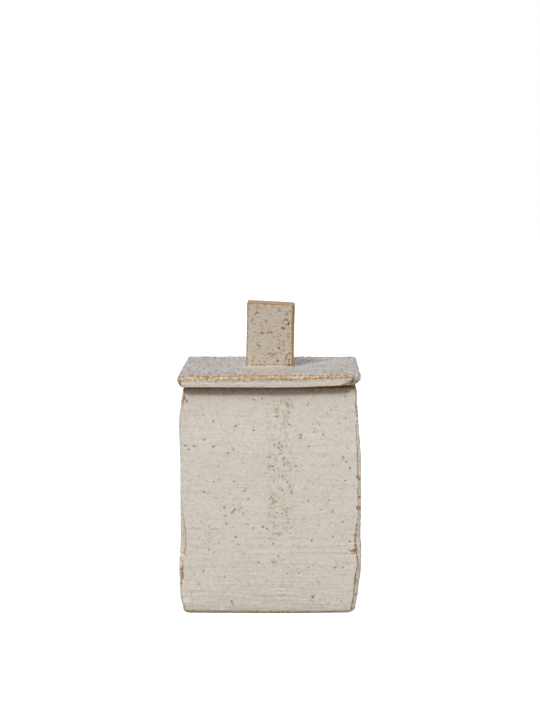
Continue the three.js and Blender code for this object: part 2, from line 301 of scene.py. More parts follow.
def scatter(f, specks, fine, fleck):
    """Lays on dust, halos, grains, dashes and pinholes, and gives how deep they pit the glaze."""
    many = f.step(f.noise(13, 6), 0.36, 0.66, 0.25, 1.3)
    away, kind = f.grains(1.9, 7)
    dust = f.step(away + fine * 0.3, 0.55, 0.32) * f.step(kind, 0.45, 0.95)
    f.coat(THIN_GLAZE, dust * 0.6 * min(specks, 1.0))

    away, kind = f.grains(3.3, 8)
    size = f.step(kind, 0.35, 1.0, 0.05, 0.72) * many * specks
    grain = f.step(away + fine * 0.5 - size, 0.34, 0.08)
    halo = f.step(away + fleck * 0.9 - size, 1.1, 0.3)
    f.coat(THIN_GLAZE, halo * f.step(kind, 0.5, 0.9) * 0.45)
    f.coat(EDGE_BROWN, grain * 0.85)

    away, kind = f.grains(5.2, 11, stretch=(0.62, 0.62, 1.35))
    size = f.step(kind, 0.55, 1.0, 0.0, 0.62) * many * specks
    dash = f.step(away + fleck * 0.7 - size, 0.44, 0.2)
    f.coat(EDGE_BROWN, dash * 0.75)

    away, kind = f.grains(9.5, 9)
    size = f.step(kind, 0.2, 1.0, 0.12, 0.72) * specks
    pin = f.step(away + fine * 0.3 - size, 0.22, 0.02)
    f.coat(IRON, pin * 0.9)
    return f.most(f.most(grain, dash) * 0.5, pin)


def set_by_hand(f, marks, corner_marks, holes, reach, fine, fleck):
    """Lays on the marks that are listed one by one, and gives how deep they pit the glaze."""
    pits = []
    if marks:
        away = f.least(f.marks(marks, reach), f.marks(corner_marks, min(reach, CORNER_REACH)))
        mark = f.step(away + fine * 0.5, 0.5, 0.16)
        f.coat(THIN_GLAZE, f.step(away + fleck, 1.3, 0.5, 0.0, 0.5))
        f.coat(MARK_BROWN, mark * 0.95)
        pits.append(mark * 0.5)
    if holes:
        hole = f.step(f.marks(holes, reach) + fine * 0.2, 0.28, 0.02)
        f.coat(PINHOLE, hole)
        pits.append(hole * 1.4)
    return pits


# %% A glaze recipe
def glaze(
    name, tan, specks, streaks, grit, edge_from, shade=(1, 1, 1),
    marks=(), corner_marks=(), holes=(), blobs=(), band=None, satin=0.44, reach=8.0,
):
    """tan: how much thin glaze shows. specks: how many grains. streaks: how strong the brush is.
    grit: height of the fine grain in millimetres. edge_from: turn at which an edge goes brown.
    shade: what the whole glaze is multiplied by. satin: the least roughness. reach: how many times
    its radius a listed mark may lie before the surface."""
    f = Finish(name)
    mottle = f.noise(3.0, 2, detail=3)
    fleck = f.noise(1.25, 10, stretch=(1.3, 1.3, 1), detail=3)
    fine = f.noise(0.7, 3)
    brush = f.noise(2.4, 4, stretch=(12, 12, 1), detail=3)
    hair = f.noise(0.9, 5, stretch=(20, 20, 1))
    rough, crack = (0.0, 0.0) if band is None else band(f)

    lower = f.step(f.axes()[2], 95, 15, 0.75, 1.4)
    streak = f.step(brush, 0.52, 0.72) * streaks * lower
    line = f.step(hair, 0.56, 0.72) * streaks * lower
    flecks = f.step(fleck, 0.52, 0.70) * (tan * 1.1 + rough * 0.5)
    thin = f.step(mottle, 0.44, 0.72) * tan + flecks + streak * 0.5 + line * 0.6 + rough * 0.16
    thin = thin + f.carried("worn") * (fleck * 1.3 + 0.45) + crack * 0.5
    cloud = f.step(f.noise(17, 1), 0.38, 0.60)
    f.base = f.mix(shaded(COOL_GLAZE, shade), shaded(THICK_GLAZE, shade), cloud)
    # painted shade and painted reflection: the cool grey goes wherever the mesh carries `flat`
    f.coat(PAINTED_SHADE_GREY, f.carried("flat"))
    f.coat(THIN_GLAZE, f.math("MULTIPLY", thin, 0.62, clamp=True))
    f.coat(THIN_GLAZE, f.step(fine, 0.54, 0.72, 0.0, 0.7))
    browned = f.step(thin + fine * 0.5, 1.35, 2.2, 0.0, 0.75)
    f.coat(EDGE_BROWN, browned)

    pit = f.most(
        scatter(f, specks, fine, fleck),
        *set_by_hand(f, marks, corner_marks, holes, reach, fine, fleck),
    )

    turn = f.carried("thin") + (fleck - 0.5) * (edge_from * 2.2) + (mottle - 0.5) * (edge_from * 1.6)
    edge = f.step(turn, edge_from, edge_from * 2.0)
    f.coat(THIN_GLAZE, f.step(turn, edge_from * 0.35, edge_from * 1.4) * 0.8)
    f.coat(EDGE_BROWN, edge * 0.95)
    f.coat(DARK_EDGE, edge * f.step(fleck, 0.60, 0.74, 0.0, 0.6))

    if blobs:
        f.coat(PALE_GLAZE, f.step(f.marks(blobs, reach) + mottle * 0.8, 0.55, 0.2) * 0.8)
    wiped = f.step(f.carried("bare") + (fleck - 0.5) * 1.2, -0.2, 0.3)
    f.coat(f.mix(TOASTED_CLAY, PALE_CLAY, f.step(fleck, 0.42, 0.7)), wiped)

    dull = f.most(f.most(edge, browned) * 0.7, wiped)
    f.put("Roughness", f.step(mottle, 0.2, 0.8, satin, satin + 0.12) + dull * 0.25 + thin * 0.06)
    f.put("Specular IOR Level", f.step(dull, 0.0, 1.0, 0.5, 0.12))
    f.bump(
        (fine - 0.5) * grit
        + (fleck - 0.5) * (grit * 2.0)
        + (mottle - 0.5) * (grit * 2.0)
        + (brush - 0.5) * streaks * 0.2
        + (hair - 0.5) * streaks * 0.15
        + rough * (fleck - 0.5) * 0.4
        + crack * -0.15
        + pit * -0.28
        + wiped * -0.06
    )
    return f.done()


# %% [markdown]
# ## Marks on the front
# Besides the scatter, a few marks are the ones the eye goes to: clusters of burnt iron in a rough
# upright band where the clay was dragged, pinholes under the lid, and two drops of thicker glaze
# near the foot. They are listed one by one, in millimetres, and grouped by size. The front isn't quite
# flat, so a mark reaches a few millimetres before and behind its own place.

# %% Marks on the front
FACE = -58.4  # the plane of the front, where the marks lie


def sized(face, groups):
    """Marks on an upright face, as (x, y, z, radius), from groups of (x, z) under their radius."""
    return [(x, face, z, radius) for radius, places in groups.items() for x, z in places]


FRONT_MARKS = sized(FACE, {
    0.3: [(-1.4, 57.8), (0.2, 56.6), (-19.5, 70.9), (34.8, 70.8), (4.7, 34.9), (28.6, 12.4),
          (30.0, 12.6), (-46.6, 93.2), (-40.0, 59.4), (5.2, 138.4), (6.2, 133.1), (13.6, 127.8),
          (32.8, 107.3), (26.5, 113.2), (44.4, 120.6)],
    0.35: [(-21.2, 127.1), (20.9, 118.6), (-18.2, 71.9), (38.6, 134.7), (42.3, 70.5), (15.5, 83.5),
          (14.2, 140.5), (16.4, 138.6), (29.7, 150.7), (25.5, 140.6), (26.2, 141.3), (0.4, 106.4),
          (7.4, 107.9), (9.3, 104.5), (8.9, 93.2), (8.7, 83.8), (14.0, 87.1), (-27.2, 108.4),
          (-54.6, 142.1), (13.0, 135.5), (48.1, 8.9)],
    0.4: [(21.6, 119.9), (-24.6, 68.7), (-22.6, 70.8), (-28.2, 61.2), (-25.0, 8.8), (-24.0, 6.0),
          (-15.6, 84.5), (51.4, 103.0), (2.4, 35.2), (28.6, 50.0), (43.9, 31.8), (11.6, 141.3),
          (12.3, 140.6), (12.9, 139.5), (15.3, 139.6), (28.5, 150.6), (29.1, 149.6), (2.0, 99.8),
          (3.3, 97.2), (8.0, 110.3), (-23.2, 89.7)],
    0.45: [(-36.9, 112.9), (-28.8, 66.5), (-15.9, 83.0), (41.3, 137.6), (3.6, 35.6), (14.8, 82.3),
          (10.0, 100.8)],
    0.5: [(-42.8, 117.4), (6.8, 115.1), (18.1, 100.2), (21.2, 121.2), (-23.6, 69.7), (-21.9, 52.3),
          (-29.5, 24.7), (-24.6, 7.3), (53.7, 98.6), (41.7, 69.4), (42.8, 52.7), (29.2, 11.5),
          (53.6, 49.4)],
    0.55: [(6.4, 112.2)],
    0.6: [(-22.0, 126.3), (-4.1, 59.2)],
})
EDGE_FACE = -57.4  # the pared edges stand a little further back, and more so near the rim
EDGE_FACE_HIGH = -56.2
EDGE_MARKS = [(x, EDGE_FACE_HIGH if z > 110 else EDGE_FACE, z, radius) for x, z, radius in (
    (-56.0, 144.8, 0.9), (-54.4, 143.2, 0.5), (-57.6, 41.2, 0.6), (-58.0, 30.2, 0.8),
    (-57.9, 27.6, 0.9), (-57.8, 24.8, 0.8), (58.6, 92.6, 0.9), (59.8, 91.6, 0.7), (60.2, 79.2, 0.6),
    (60.0, 71.8, 0.8), (59.0, 71.5, 0.7), (58.4, 72.8, 0.5), (53.8, 43.6, 0.5), (55.2, 43.0, 0.6),
    (56.6, 43.4, 0.9), (57.8, 44.2, 0.7), (57.5, 42.0, 0.9), (58.0, 60.4, 0.4), (58.2, 139.4, 0.7),
    (58.6, 133.4, 0.8), (57.8, 136.0, 0.5), (59.4, 33.0, 0.5), (58.6, 22.6, 0.6), (58.0, 13.4, 0.5),
)]
FRONT_HOLES = sized(FACE, {
    0.25: [(15.2, 126.7)],
    0.3: [(-23.8, 144.6), (3.7, 96.8), (26.2, 31.8)],
    0.35: [(-10.1, 144.2), (-55.4, 113.2), (12.2, 27.6)],
    0.4: [(-4.4, 145.1), (12.3, 89.0)],
})
FRONT_BLOBS = [(-54.9, -56.6, 9.7, 2.1), (-31.1, -56.4, 3.7, 1.9)]
BAND_MIDDLE = 7.0  # of the rough band, to the right of the box's middle
BAND_HALF = 13.0


def dragged_band(f):
    """Two numbers from 0 to 1: how rough the band down the front is, and where a crack runs."""
    x, y, z = f.axes()
    across = f.step(f.math("ABSOLUTE", x - BAND_MIDDLE), BAND_HALF, BAND_HALF * 0.3)
    down = f.step(z, 30, 60) * f.step(z, 150, 138)
    rough = across * down * f.step(y, -40, -48) * f.step(f.noise(5, 12), 0.4, 0.62)
    ridge = f.math("ABSOLUTE", f.noise(2.6, 13, stretch=(1, 1, 2.6), detail=3) - 0.5)
    return rough, rough * f.step(ridge, 0.04, 0.008)


print("marks on the front:", len(FRONT_MARKS) + len(FRONT_HOLES) + len(FRONT_BLOBS))

# %% [markdown]
# ## Bare clay
# Where the lid rests, under the foot and on the locating flange the glaze was wiped off, or the
# pieces would fuse in the kiln. There the clay shows: matte, toasted in the fire, and gritty with
# grog.


# %% A recipe for bare clay
def bare_clay(name):
    f = Finish(name)
    cloud = f.noise(18, 21, detail=3)
    mottle = f.noise(2.2, 22, detail=4)
    away, kind = f.grains(1.7, 23)
    grog = f.step(away, 0.55, 0.25) * f.step(kind, 0.45, 0.75)
    away, kind = f.grains(4.0, 24)
    iron = f.step(away - kind * 0.55, 0.18, 0.0)
    f.base = f.mix(TOASTED_CLAY, PALE_CLAY, f.step(cloud * 0.6 + mottle * 0.4, 0.36, 0.6))
    f.coat(GROG, grog * 0.5)
    f.coat(IRON, iron * 0.8)
    f.put("Roughness", f.step(mottle, 0.2, 0.8, 0.80, 0.94))
    f.bump(mottle * 0.14 + grog * 0.08 + iron * -0.1)
    return f.done()


# %% [markdown]
# ## The four glazes
# All four glazes follow the one recipe. The knob was handled most and has the thinnest glaze, the
# lid lies flat and kept more sheen, and the inside was poured, so it shows little of the brush.

# %% Marks on the knob
KNOB_FACE = -11.0
KNOB_MARKS = sized(KNOB_FACE, {
    0.25: [(4.3, 169.5), (-4.0, 164.3)],
    0.3: [(-2.6, 192.7), (-0.2, 169.4), (11.0, 166.7), (-5.6, 188.1), (-11.4, 168.4), (-10.6, 172.3)],
    0.35: [(-10.7, 196.7), (-1.8, 184.1), (1.3, 183.9), (5.5, 201.3), (-6.5, 201.0), (-7.5, 175.2),
          (-1.3, 169.7), (0.9, 169.3), (3.2, 169.6), (-10.0, 184.3), (5.0, 191.0), (8.4, 178.3),
          (6.0, 179.0)],
    0.4: [(10.3, 192.9), (12.1, 192.2), (8.7, 187.0), (-0.2, 185.0), (0.6, 184.4), (5.8, 200.1),
          (6.6, 199.1), (2.1, 169.5), (13.0, 164.9), (6.4, 173.0), (12.8, 162.7)],
    0.45: [(-2.8, 191.6), (9.4, 192.3), (11.4, 193.0), (-1.1, 185.0), (-5.6, 184.4), (-5.6, 183.4),
          (11.4, 196.6), (-9.1, 175.8)],
    0.55: [(-3.3, 203.5), (5.8, 173.7)],
    0.6: [(-8.8, 197.7), (8.1, 187.6)],
    0.65: [(12.9, 165.8)],
})
KNOB_HOLES = sized(KNOB_FACE, {
    0.25: [(13.1, 184.2), (-1.5, 170.0)],
    0.45: [(9.1, 186.8)],
    0.5: [(5.1, 164.9), (13.0, 161.9)],
    0.6: [(12.5, 190.3)],
})
print("marks on the knob:", len(KNOB_MARKS) + len(KNOB_HOLES))

# %% The finishes
LID_TOP_MARK = 160.6  # height of the three marks on the lid

body_glaze = glaze(
    "glaze_on_body", tan=0.4, specks=0.85, streaks=0.55, grit=0.07, edge_from=0.075,
    shade=(1.085, 1.09, 1.095), marks=FRONT_MARKS, corner_marks=EDGE_MARKS,
    holes=FRONT_HOLES, blobs=FRONT_BLOBS, band=dragged_band,
)
inside_glaze = glaze(
    "glaze_inside", tan=0.35, specks=0.7, streaks=0.25, grit=0.04, edge_from=0.3,
)
lid_glaze = glaze(
    "glaze_on_lid", tan=0.35, specks=0.9, streaks=0.08, grit=0.16, edge_from=0.085,
    marks=[(-23.2, -3.1, LID_TOP_MARK, 0.5)], corner_marks=[(31.0, 12.0, LID_TOP_MARK, 0.5)],
    holes=[(0.1, -19.7, LID_TOP_MARK, 0.5)], satin=0.32, reach=1.0,
)
knob_glaze = glaze(
    "glaze_on_knob", tan=1.15, specks=1.0, streaks=0.12, grit=0.20, edge_from=0.085,
    shade=(0.81, 0.79, 0.765), marks=KNOB_MARKS, corner_marks=[(15.0, KNOB_FACE, 190.0, 0.3)],
    holes=KNOB_HOLES,
)
bare = bare_clay("bare_stoneware")

# %% [markdown]
# ## Noise for shape
# Clay that was rolled, paddled and dragged has lumps of every size, and they must run on from one
# slab to the next round a corner. So the shape noise is worked out from the place in space, on a
# fixed lattice of seeded random directions, the same each time the script runs.

# %% Noise for shape
LATTICE = 32
SEED_MOVE = 11.3  # how far each seed moves the noise, in cells
SHAPE_SEED = 7
GROG_SEED = 11
dice = np.random.default_rng(SHAPE_SEED)
slopes = dice.normal(size=(LATTICE, LATTICE, LATTICE, 3)).astype(np.float32)
slopes /= np.linalg.norm(slopes, axis=-1, keepdims=True)


def xyz(points):
    """Across, deep and up, as three arrays."""
    return points[..., 0], points[..., 1], points[..., 2]


def lumps(points, size, seed=0):
    """Smooth noise from about -1 to 1. Size is in millimetres, one number or one for each axis."""
    scaled = points / np.array(size, float) + seed * SEED_MOVE
    cell = np.floor(scaled).astype(int)
    inside = (scaled - cell).astype(np.float32)
    fade = inside * inside * inside * (inside * (inside * 6 - 15) + 10)
    found = np.zeros(points.shape[:-1], np.float32)
    for corner in np.ndindex(2, 2, 2):
        at = (cell + corner) % LATTICE
        slope = slopes[xyz(at)]
        weight = np.prod(np.where(corner, fade, 1 - fade), axis=-1)
        found += weight * np.sum(slope * (inside - corner), axis=-1)
    return found * 1.5


def curls(points, size, seed, patchy=0.0, narrow=7.0):
    """Thin raised lines that wander and curl, 0 to 1, in patches."""
    line = np.clip(1 - narrow * np.abs(lumps(points, size, seed)), 0, 1)
    where = ramp(lumps(points, np.array(size) * 2.1, seed + 1), patchy, patchy + 0.35)
    return line * line * where


def ramp(value, low, high):
    """0 at low, 1 at high, and smooth between."""
    share = np.clip((value - low) / (high - low), 0, 1)
    return share * share * (3 - 2 * share)


def bell(away, width):
    """1 in the middle, and fading over a width on both sides."""
    return np.exp(-((away / width) ** 2))


def through(knots, at):
    """A smooth line through a few given points, read at many places."""
    x, y = np.array(knots, float).T
    slope = np.gradient(y, x)
    at = np.clip(at, x[0], x[-1])
    k = np.clip(np.searchsorted(x, at) - 1, 0, len(x) - 2)
    width = x[k + 1] - x[k]
    t = (at - x[k]) / width
    start = (2 * t**3 - 3 * t**2 + 1) * y[k] + (t**3 - 2 * t**2 + t) * width * slope[k]
    return start + (3 * t**2 - 2 * t**3) * y[k + 1] + (t**3 - t**2) * width * slope[k + 1]


sample = dice.uniform(-60, 60, (4000, 3))
print("lumps spread:", round(float(lumps(sample, 5).std()), 3))

# %% [markdown]
# ## A skin round four sides
# Walls, lid, floor and knob are all square in plan, with a pared edge on each upright corner. One
# function makes them all: a list of rows says how the section runs (how far inward, how high), and
# every row becomes a ring of points round the four sides. A fold is softened over a short reach, as
# a damp sponge does. Rings with the same number of points join up into clean strips of quads,
# which cutting and bevelling a cube would not give.

# %% Rings round four sides
SIDES = ("front", "right", "back", "left")
WIDE_IS_SOFT = 0.35  # a wide pared edge was sponged rounder than a narrow one
FLAT_TO_PARED = np.array([-1 + math.sqrt(0.5), -math.sqrt(0.5)])
PARED_TO_NEXT = np.array([-math.sqrt(0.5), -1 + math.sqrt(0.5)])


def soften(away, reach):
    """How far a point near a fold moves along the change of direction there."""
    return np.clip(reach - np.abs(away), 0, None) ** 2 / (4 * np.maximum(reach, 1e-6))


def eased(count, crowd):
    """Steps from 0 to 1 that crowd together at both ends."""
    t = np.linspace(0, 1, count + 1)
    return t - crowd * np.sin(2 * math.pi * t) / (2 * math.pi)


def ring_columns(count, pared_count, crowd=0.62):
    """Where the points of one side stand: before its first edge, along it, past its last edge."""
    seam = np.linspace(1, 0, pared_count + 1)[:-1]
    along = eased(count, crowd)
    none_before = np.zeros(count + 1)
    before = np.concatenate([seam, none_before, 0 * seam])
    flat = np.concatenate([0 * seam, along, 1 + 0 * seam])
    after = np.concatenate([0 * seam, none_before, seam[::-1]])
    return before, flat, after


def rings(rows, columns, line, pared, soft, hub=None, axis=(0.0, 0.0)):
    """Points of a skin, as rows of closed rings. Each row is (inward, z, share): a share under 1
    draws the ring in towards a small round hub on the axis."""
    inward, z, share = (np.array(v, float)[:, None] for v in zip(*rows))
    before, flat, after = (c[None, :] for c in columns)
    t = 2 * flat - 1
    sides = []
    for i in range(4):
        out = line(i, t, z) - inward
        left = line((i + 3) % 4, 1, z) - inward
        right = line((i + 1) % 4, -1, z) - inward
        first, last = pared((i + 3) % 4, z, inward), pared(i, z, inward)
        start, end = first - left, right - last
        along = start + flat * (end - start) - before * first / 2 + after * last / 2
        depth = out - before * first / 2 - after * last / 2
        past_start = np.where(before > 0, -before * first * math.sqrt(0.5), along - start)
        to_end = np.where(after > 0, after * last * math.sqrt(0.5), along - end)
        for away, fold, flip, width in (
            (to_end, FLAT_TO_PARED, 1, last),
            (to_end - last * math.sqrt(2), PARED_TO_NEXT, 1, last),
            (past_start, FLAT_TO_PARED, -1, first),
            (past_start + first * math.sqrt(2), PARED_TO_NEXT, -1, first),
        ):
            moved = soften(away, soft * (1 + WIDE_IS_SOFT * width))
            along = along + flip * fold[0] * moved
            depth = depth + fold[1] * moved
        turn = i * math.pi / 2
        x = along * math.cos(turn) + depth * math.sin(turn)
        y = along * math.sin(turn) - depth * math.cos(turn)
        sides.append(np.stack([x, y, z + 0 * x], -1)[:, :-1])
    skin = np.concatenate(sides, axis=1)
    if hub is not None:
        angle = np.arctan2(skin[..., 1], skin[..., 0])
        round_hub = np.stack([hub * np.cos(angle), hub * np.sin(angle)], -1) + np.array(axis)
        skin[..., :2] = round_hub + (skin[..., :2] - round_hub) * share[..., None]
    return skin


def section(corners, counts, softs, closed=True):
    """Rows along a folded line through corners (inward, z), with its folds softened."""
    corners = np.array(corners, float)
    ends = np.roll(corners, -1, axis=0) if closed else corners[1:]
    starts = corners[: len(ends)]
    lengths = np.linalg.norm(ends - starts, axis=1)
    heading = (ends - starts) / lengths[:, None]
    at = np.concatenate([[0], np.cumsum(lengths)])
    where, points = [], []
    for k, count in enumerate(counts):
        steps = eased(count, 0.55)[: count if closed or k < len(counts) - 1 else count + 1]
        points.append(starts[k] + steps[:, None] * (ends[k] - starts[k]))
        where.append(at[k] + steps * lengths[k])
    points, where = np.concatenate(points), np.concatenate(where)
    for k in range(1, len(heading)):
        moved = soften(where - at[k], softs[k])
        points = points + moved[:, None] * (heading[k] - heading[k - 1])
    return [(inward, z, 1.0) for inward, z in points]


# %% [markdown]
# ## Surface work on a skin
# A skin of rings is pushed along its own outward direction by the noise. Then the glaze is laid on:
# a point that stands proud of its neighbours a short way off on both sides is a point the glaze
# ran off. That is measured on the finished shape, so every edge, bump and dent gets its own brown
# line without being drawn.

# %% Outward direction and thinness of the glaze
GLAZE_REACH = 0.6  # how far a wet glaze pulls back from an edge, in millimetres


def outward(skin, closed_rows):
    """Unit outward direction at each point of a skin whose rings run anticlockwise."""
    round_it = np.roll(skin, -1, axis=1) - np.roll(skin, 1, axis=1)
    if closed_rows:
        up_it = np.roll(skin, -1, axis=0) - np.roll(skin, 1, axis=0)
    else:
        up_it = np.gradient(skin, axis=0)
    normal = np.cross(round_it, up_it)
    return normal / np.maximum(np.linalg.norm(normal, axis=-1, keepdims=True), 1e-9)


def neighbour(skin, axis, closed, offset):
    """The skin read a fixed distance further along its rows or rings."""
    moved = np.moveaxis(skin, axis, 0)
    gaps = np.linalg.norm(np.diff(moved, axis=0), axis=-1)
    place = np.concatenate([[0], np.cumsum(np.median(gaps, axis=1))])
    count = len(place)
    if closed:
        last = float(np.median(np.linalg.norm(moved[0] - moved[-1], axis=-1)))
        whole = place[-1] + last
        place_long = np.concatenate([place - whole, place, place + whole])
        index = np.interp(place + offset, place_long, np.arange(-count, 2 * count))
    else:
        index = np.interp(place + offset, place, np.arange(count))
    low = np.floor(index).astype(int)
    share = (index - low)[:, None, None]
    found = moved[low % count] * (1 - share) + moved[(low + 1) % count] * share
    return np.moveaxis(found, 0, axis)


def thinness(skin, closed_rows):
    """How far each point stands proud of the points a short way off, in millimetres."""
    normal = outward(skin, closed_rows)
    proud = 0
    for axis, closed in ((0, closed_rows), (1, True)):
        ahead = neighbour(skin, axis, closed, GLAZE_REACH)
        around = ahead + neighbour(skin, axis, closed, -GLAZE_REACH)
        proud = proud + np.sum((skin - around / 2) * normal, axis=-1)
    return proud


# %% [markdown]
# ## From skin to piece
# A piece is cut from the skin between two seams and closed at its ends, so every mesh is a solid
# with no open edge. Its quads also get a tidy unwrapping that follows the rows and rings.

# %% Making a piece
made = []
# `flat` carries where painted shade and painted reflection go; it is 0 unless a piece names it
PLAIN = {"thin": 0, "bare": -5, "worn": 0, "flat": 0}  # what a piece carries if it names no other
SKIN_WIDE = 0.9  # how much of the unwrapping's width the skin takes, with the ends beside it


def make_piece(
    name, body, node, finish, skin, values, closed_rows, closed_columns, smooth_ends=False,
):
    """skin: rows by columns of points in millimetres. values: named numbers for each point."""
    rows, columns = skin.shape[:2]
    number = np.arange(rows * columns).reshape(rows, columns)
    row = np.concatenate([number, number[:1]]) if closed_rows else number
    grid = np.concatenate([row, row[:, :1]], axis=1) if closed_columns else row
    quads = np.stack([grid[:-1, :-1], grid[:-1, 1:], grid[1:, 1:], grid[1:, :-1]], -1)
    high, wide = quads.shape[:2]
    faces = quads.reshape(-1, 4).tolist()
    caps = []
    if not closed_columns:
        caps = [number[:, 0].tolist(), number[::-1, -1].tolist()]
    if not closed_rows:
        caps = [number[0, ::-1].tolist(), number[-1].tolist()]
    mesh = bpy.data.meshes.new(name)
    mesh.from_pydata((skin.reshape(-1, 3) * MM).tolist(), [], faces + caps)
    mesh.polygons.foreach_set("use_smooth", [True] * len(faces) + [smooth_ends] * len(caps))

    v = np.repeat(np.arange(high + 1) / high, wide + 1).reshape(high + 1, wide + 1)
    u = np.tile(np.arange(wide + 1) / wide * SKIN_WIDE, (high + 1, 1))
    pair = np.stack([u, v * 0.99], -1)
    spread = np.stack([pair[:-1, :-1], pair[:-1, 1:], pair[1:, 1:], pair[1:, :-1]], -2).reshape(-1, 2)
    ends = []
    for k, cap in enumerate(caps):
        flat = skin.reshape(-1, 3)[cap]
        middle = flat - flat.mean(0)
        lying = middle @ np.linalg.svd(middle, full_matrices=False)[2][:2].T
        lying = (lying - lying.min(0)) / np.maximum(np.ptp(lying, axis=0), 1e-6)
        ends.append(np.stack([0.92 + 0.07 * lying[:, 1], 0.02 + 0.45 * lying[:, 0] + 0.5 * k], -1))
    layer = mesh.uv_layers.new(name="OFBake")
    layer.data.foreach_set("uv", np.concatenate([spread] + ends).astype(np.float32).ravel())
    for key, value in {**PLAIN, **values}.items():
        attribute = mesh.attributes.new(key, "FLOAT", "POINT")
        everywhere = np.broadcast_to(value, (rows, columns)).astype(np.float32)
        attribute.data.foreach_set("value", everywhere.ravel())
    mesh.materials.append(finish)
    mesh.validate()
    piece = bpy.data.objects.new(name, mesh)
    bpy.context.scene.collection.objects.link(piece)
    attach(piece, body)
    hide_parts(node)
    made.append(piece)
    return piece


def side_columns(skin, i):
    """The columns of one side, from mitre to mitre."""
    step = skin.shape[1] // 4
    return np.arange(i * step, (i + 1) * step + 1) % skin.shape[1]


def solid_volume(piece):
    """In cubic centimetres."""
    mesh = piece.data
    mesh.calc_loop_triangles()
    points = np.array([v.co for v in mesh.vertices]) / MM
    a, b, c = (points[[t.vertices[k] for t in mesh.loop_triangles]] for k in range(3))
    return float(np.sum(a * np.cross(b, c)) / 6 / 1000)


# %% [markdown]
# ## How the four walls stand
# No wall of the real box is flat. Each leans out below the rim, is widest low down and tucks in at
# the foot. Seen from the front, the left and right walls draw the outline of the box, so their lines
# were read at a few heights from it; the front and back lean in the same easy way.

# %% The lean of the walls and the pared edges
LEAN = {  # height, and how far the wall stands out from the line of the rim
    "front": [(0, -0.3), (5, 0.5), (12, 0.9), (30, 0.9), (70, 0.7), (100, 0.6), (125, 0.5),
              (140, 0.2), (153, -0.5)],
    "right": [(0, 0.1), (3.3, 0.5), (9, 1.5), (14, 2.2), (20, 2.8), (25, 3.5), (30, 4.0), (36, 4.2),
              (44, 4.3), (51, 3.8), (60, 3.8), (70, 4.05), (90, 3.95), (104, 3.75), (112, 3.4),
              (120, 2.8), (127, 2.25), (134, 1.9), (141, 1.4), (148, 1.1), (153, 0.5)],
    "back": [(0, -0.6), (8, 0.7), (20, 1.9), (60, 2.2), (110, 2.1), (130, 1.3), (145, 0.4), (153, 0)],
    "left": [(0, 0.1), (3.3, 0.4), (6, 0.9), (9, 1.6), (14, 2.25), (20, 2.45), (38, 2.6), (46, 2.1),
             (62, 1.95), (80, 2.0), (104, 1.85), (111, 2.1), (118, 2.4), (128, 2.55), (134, 2.2),
             (140, 1.3), (146, 0.4), (153, -0.8)],
}
PILLOW = (0.8, 0.5, 0.8, 0.4)  # how much further each wall bulges between its corners
FOOT_TUCK = (0.25, 2.2, 1.2, 2.4)  # how far each wall draws in at the foot
PARED = [  # width of the pared edge after each side
    [(0, 2.6), (8, 2.8), (17, 2.9), (27, 3.2), (35, 2.3), (44, 3.5), (50, 3.8), (58, 2.9), (66, 2.0),
     (71, 1.6), (77, 2.1), (83, 2.3), (90, 1.7), (96, 2.1), (104, 2.2), (118, 2.0), (126, 1.9),
     (132, 0.7), (140, 1.3), (153, 0.8)],
    [(0, 1.8), (30, 2.4), (52, 1.4), (70, 2.6), (96, 2.0), (120, 2.4), (140, 1.2), (153, 0.8)],
    [(0, 2.0), (24, 1.5), (46, 2.8), (80, 2.2), (101, 1.2), (128, 2.4), (153, 0.9)],
    [(0, 1.0), (8, 1.2), (15, 0.9), (22, 1.3), (28, 2.0), (36, 2.3), (38.4, 1.8), (39.8, 3.2),
     (42, 3.4), (46, 3.8), (52, 3.6), (60, 2.9), (66, 2.3), (73, 1.3), (82, 0.9), (100, 1.1),
     (118, 1.5), (132, 1.0), (142, 1.5), (153, 0.8)],
]
EDGE_GLAZE = [  # how strongly the glaze breaks on the pared edge after each side
    [(0, 0.85), (10, 0.85), (27, 0.8), (34, 0.8), (42, 1.0), (50, 0.85), (58, 0.8), (66, 0.7),
     (72, 0.8), (80, 0.8), (90, 0.75), (100, 0.85), (125, 0.8), (133, 1.0), (138, 1.4), (153, 1.3)],
    [(0, 1.0), (20, 0.7), (60, 0.9), (90, 0.6), (130, 1.0), (153, 1.2)],
    [(0, 1.0), (30, 0.9), (50, 0.5), (100, 0.9), (140, 0.7), (153, 1.2)],
    [(0, 0.9), (10, 0.5), (18, 0.5), (23, 1.0), (30, 0.9), (34, 0.4), (40, 0.42), (46, 0.38),
     (66, 0.4), (80, 0.45), (100, 0.35), (130, 0.4), (138, 0.5), (144, 0.95), (153, 0.6)],
]


def edge_glaze(p):
    """The share of the glaze's break that shows at each point, by the nearest pared edge."""
    x, y, z = xyz(p)
    near = ramp(np.minimum(np.abs(x), np.abs(y)), 49, 53)
    shown = 1.0
    for k, (right, back) in enumerate(((1, -1), (1, 1), (-1, 1), (-1, -1))):
        here = near * (x * right > 0) * (y * back > 0)
        shown = shown + here * (through(EDGE_GLAZE[k], z) - 1)
    return shown


def wall_line(i, t, z):
    lean = through(LEAN[SIDES[i]], z) - FOOT_TUCK[i] * np.clip(1 - z / 3.0, 0, 1) ** 2
    bulge = PILLOW[i] * (1 - t * t) * ramp(z, 2, 40) * ramp(z, RIM, RIM - 40)
    return HALF_RIM + lean + bulge


def wall_pared(i, z, inward):
    return through(PARED[i], z) * np.clip(1 - inward / WALL, 0.02, 1)


print("the front wall leans", through(LEAN["front"], np.array([0, 70, RIM])).round(2), "mm")


# %% [markdown]
# ## The walls
# The skin of the walls runs under the foot, up the outside, over the rim and down the inside. It is
# pushed in and out by slow waves from paddling, sideways ridges from the brush, grit, and the
# wrinkles of the dragged band. Near the rim the front wall leans back a little under the lid. At the
# back and sides the same rules give other lumps. Cut at the four mitres, it gives four slabs that
# meet without a step.

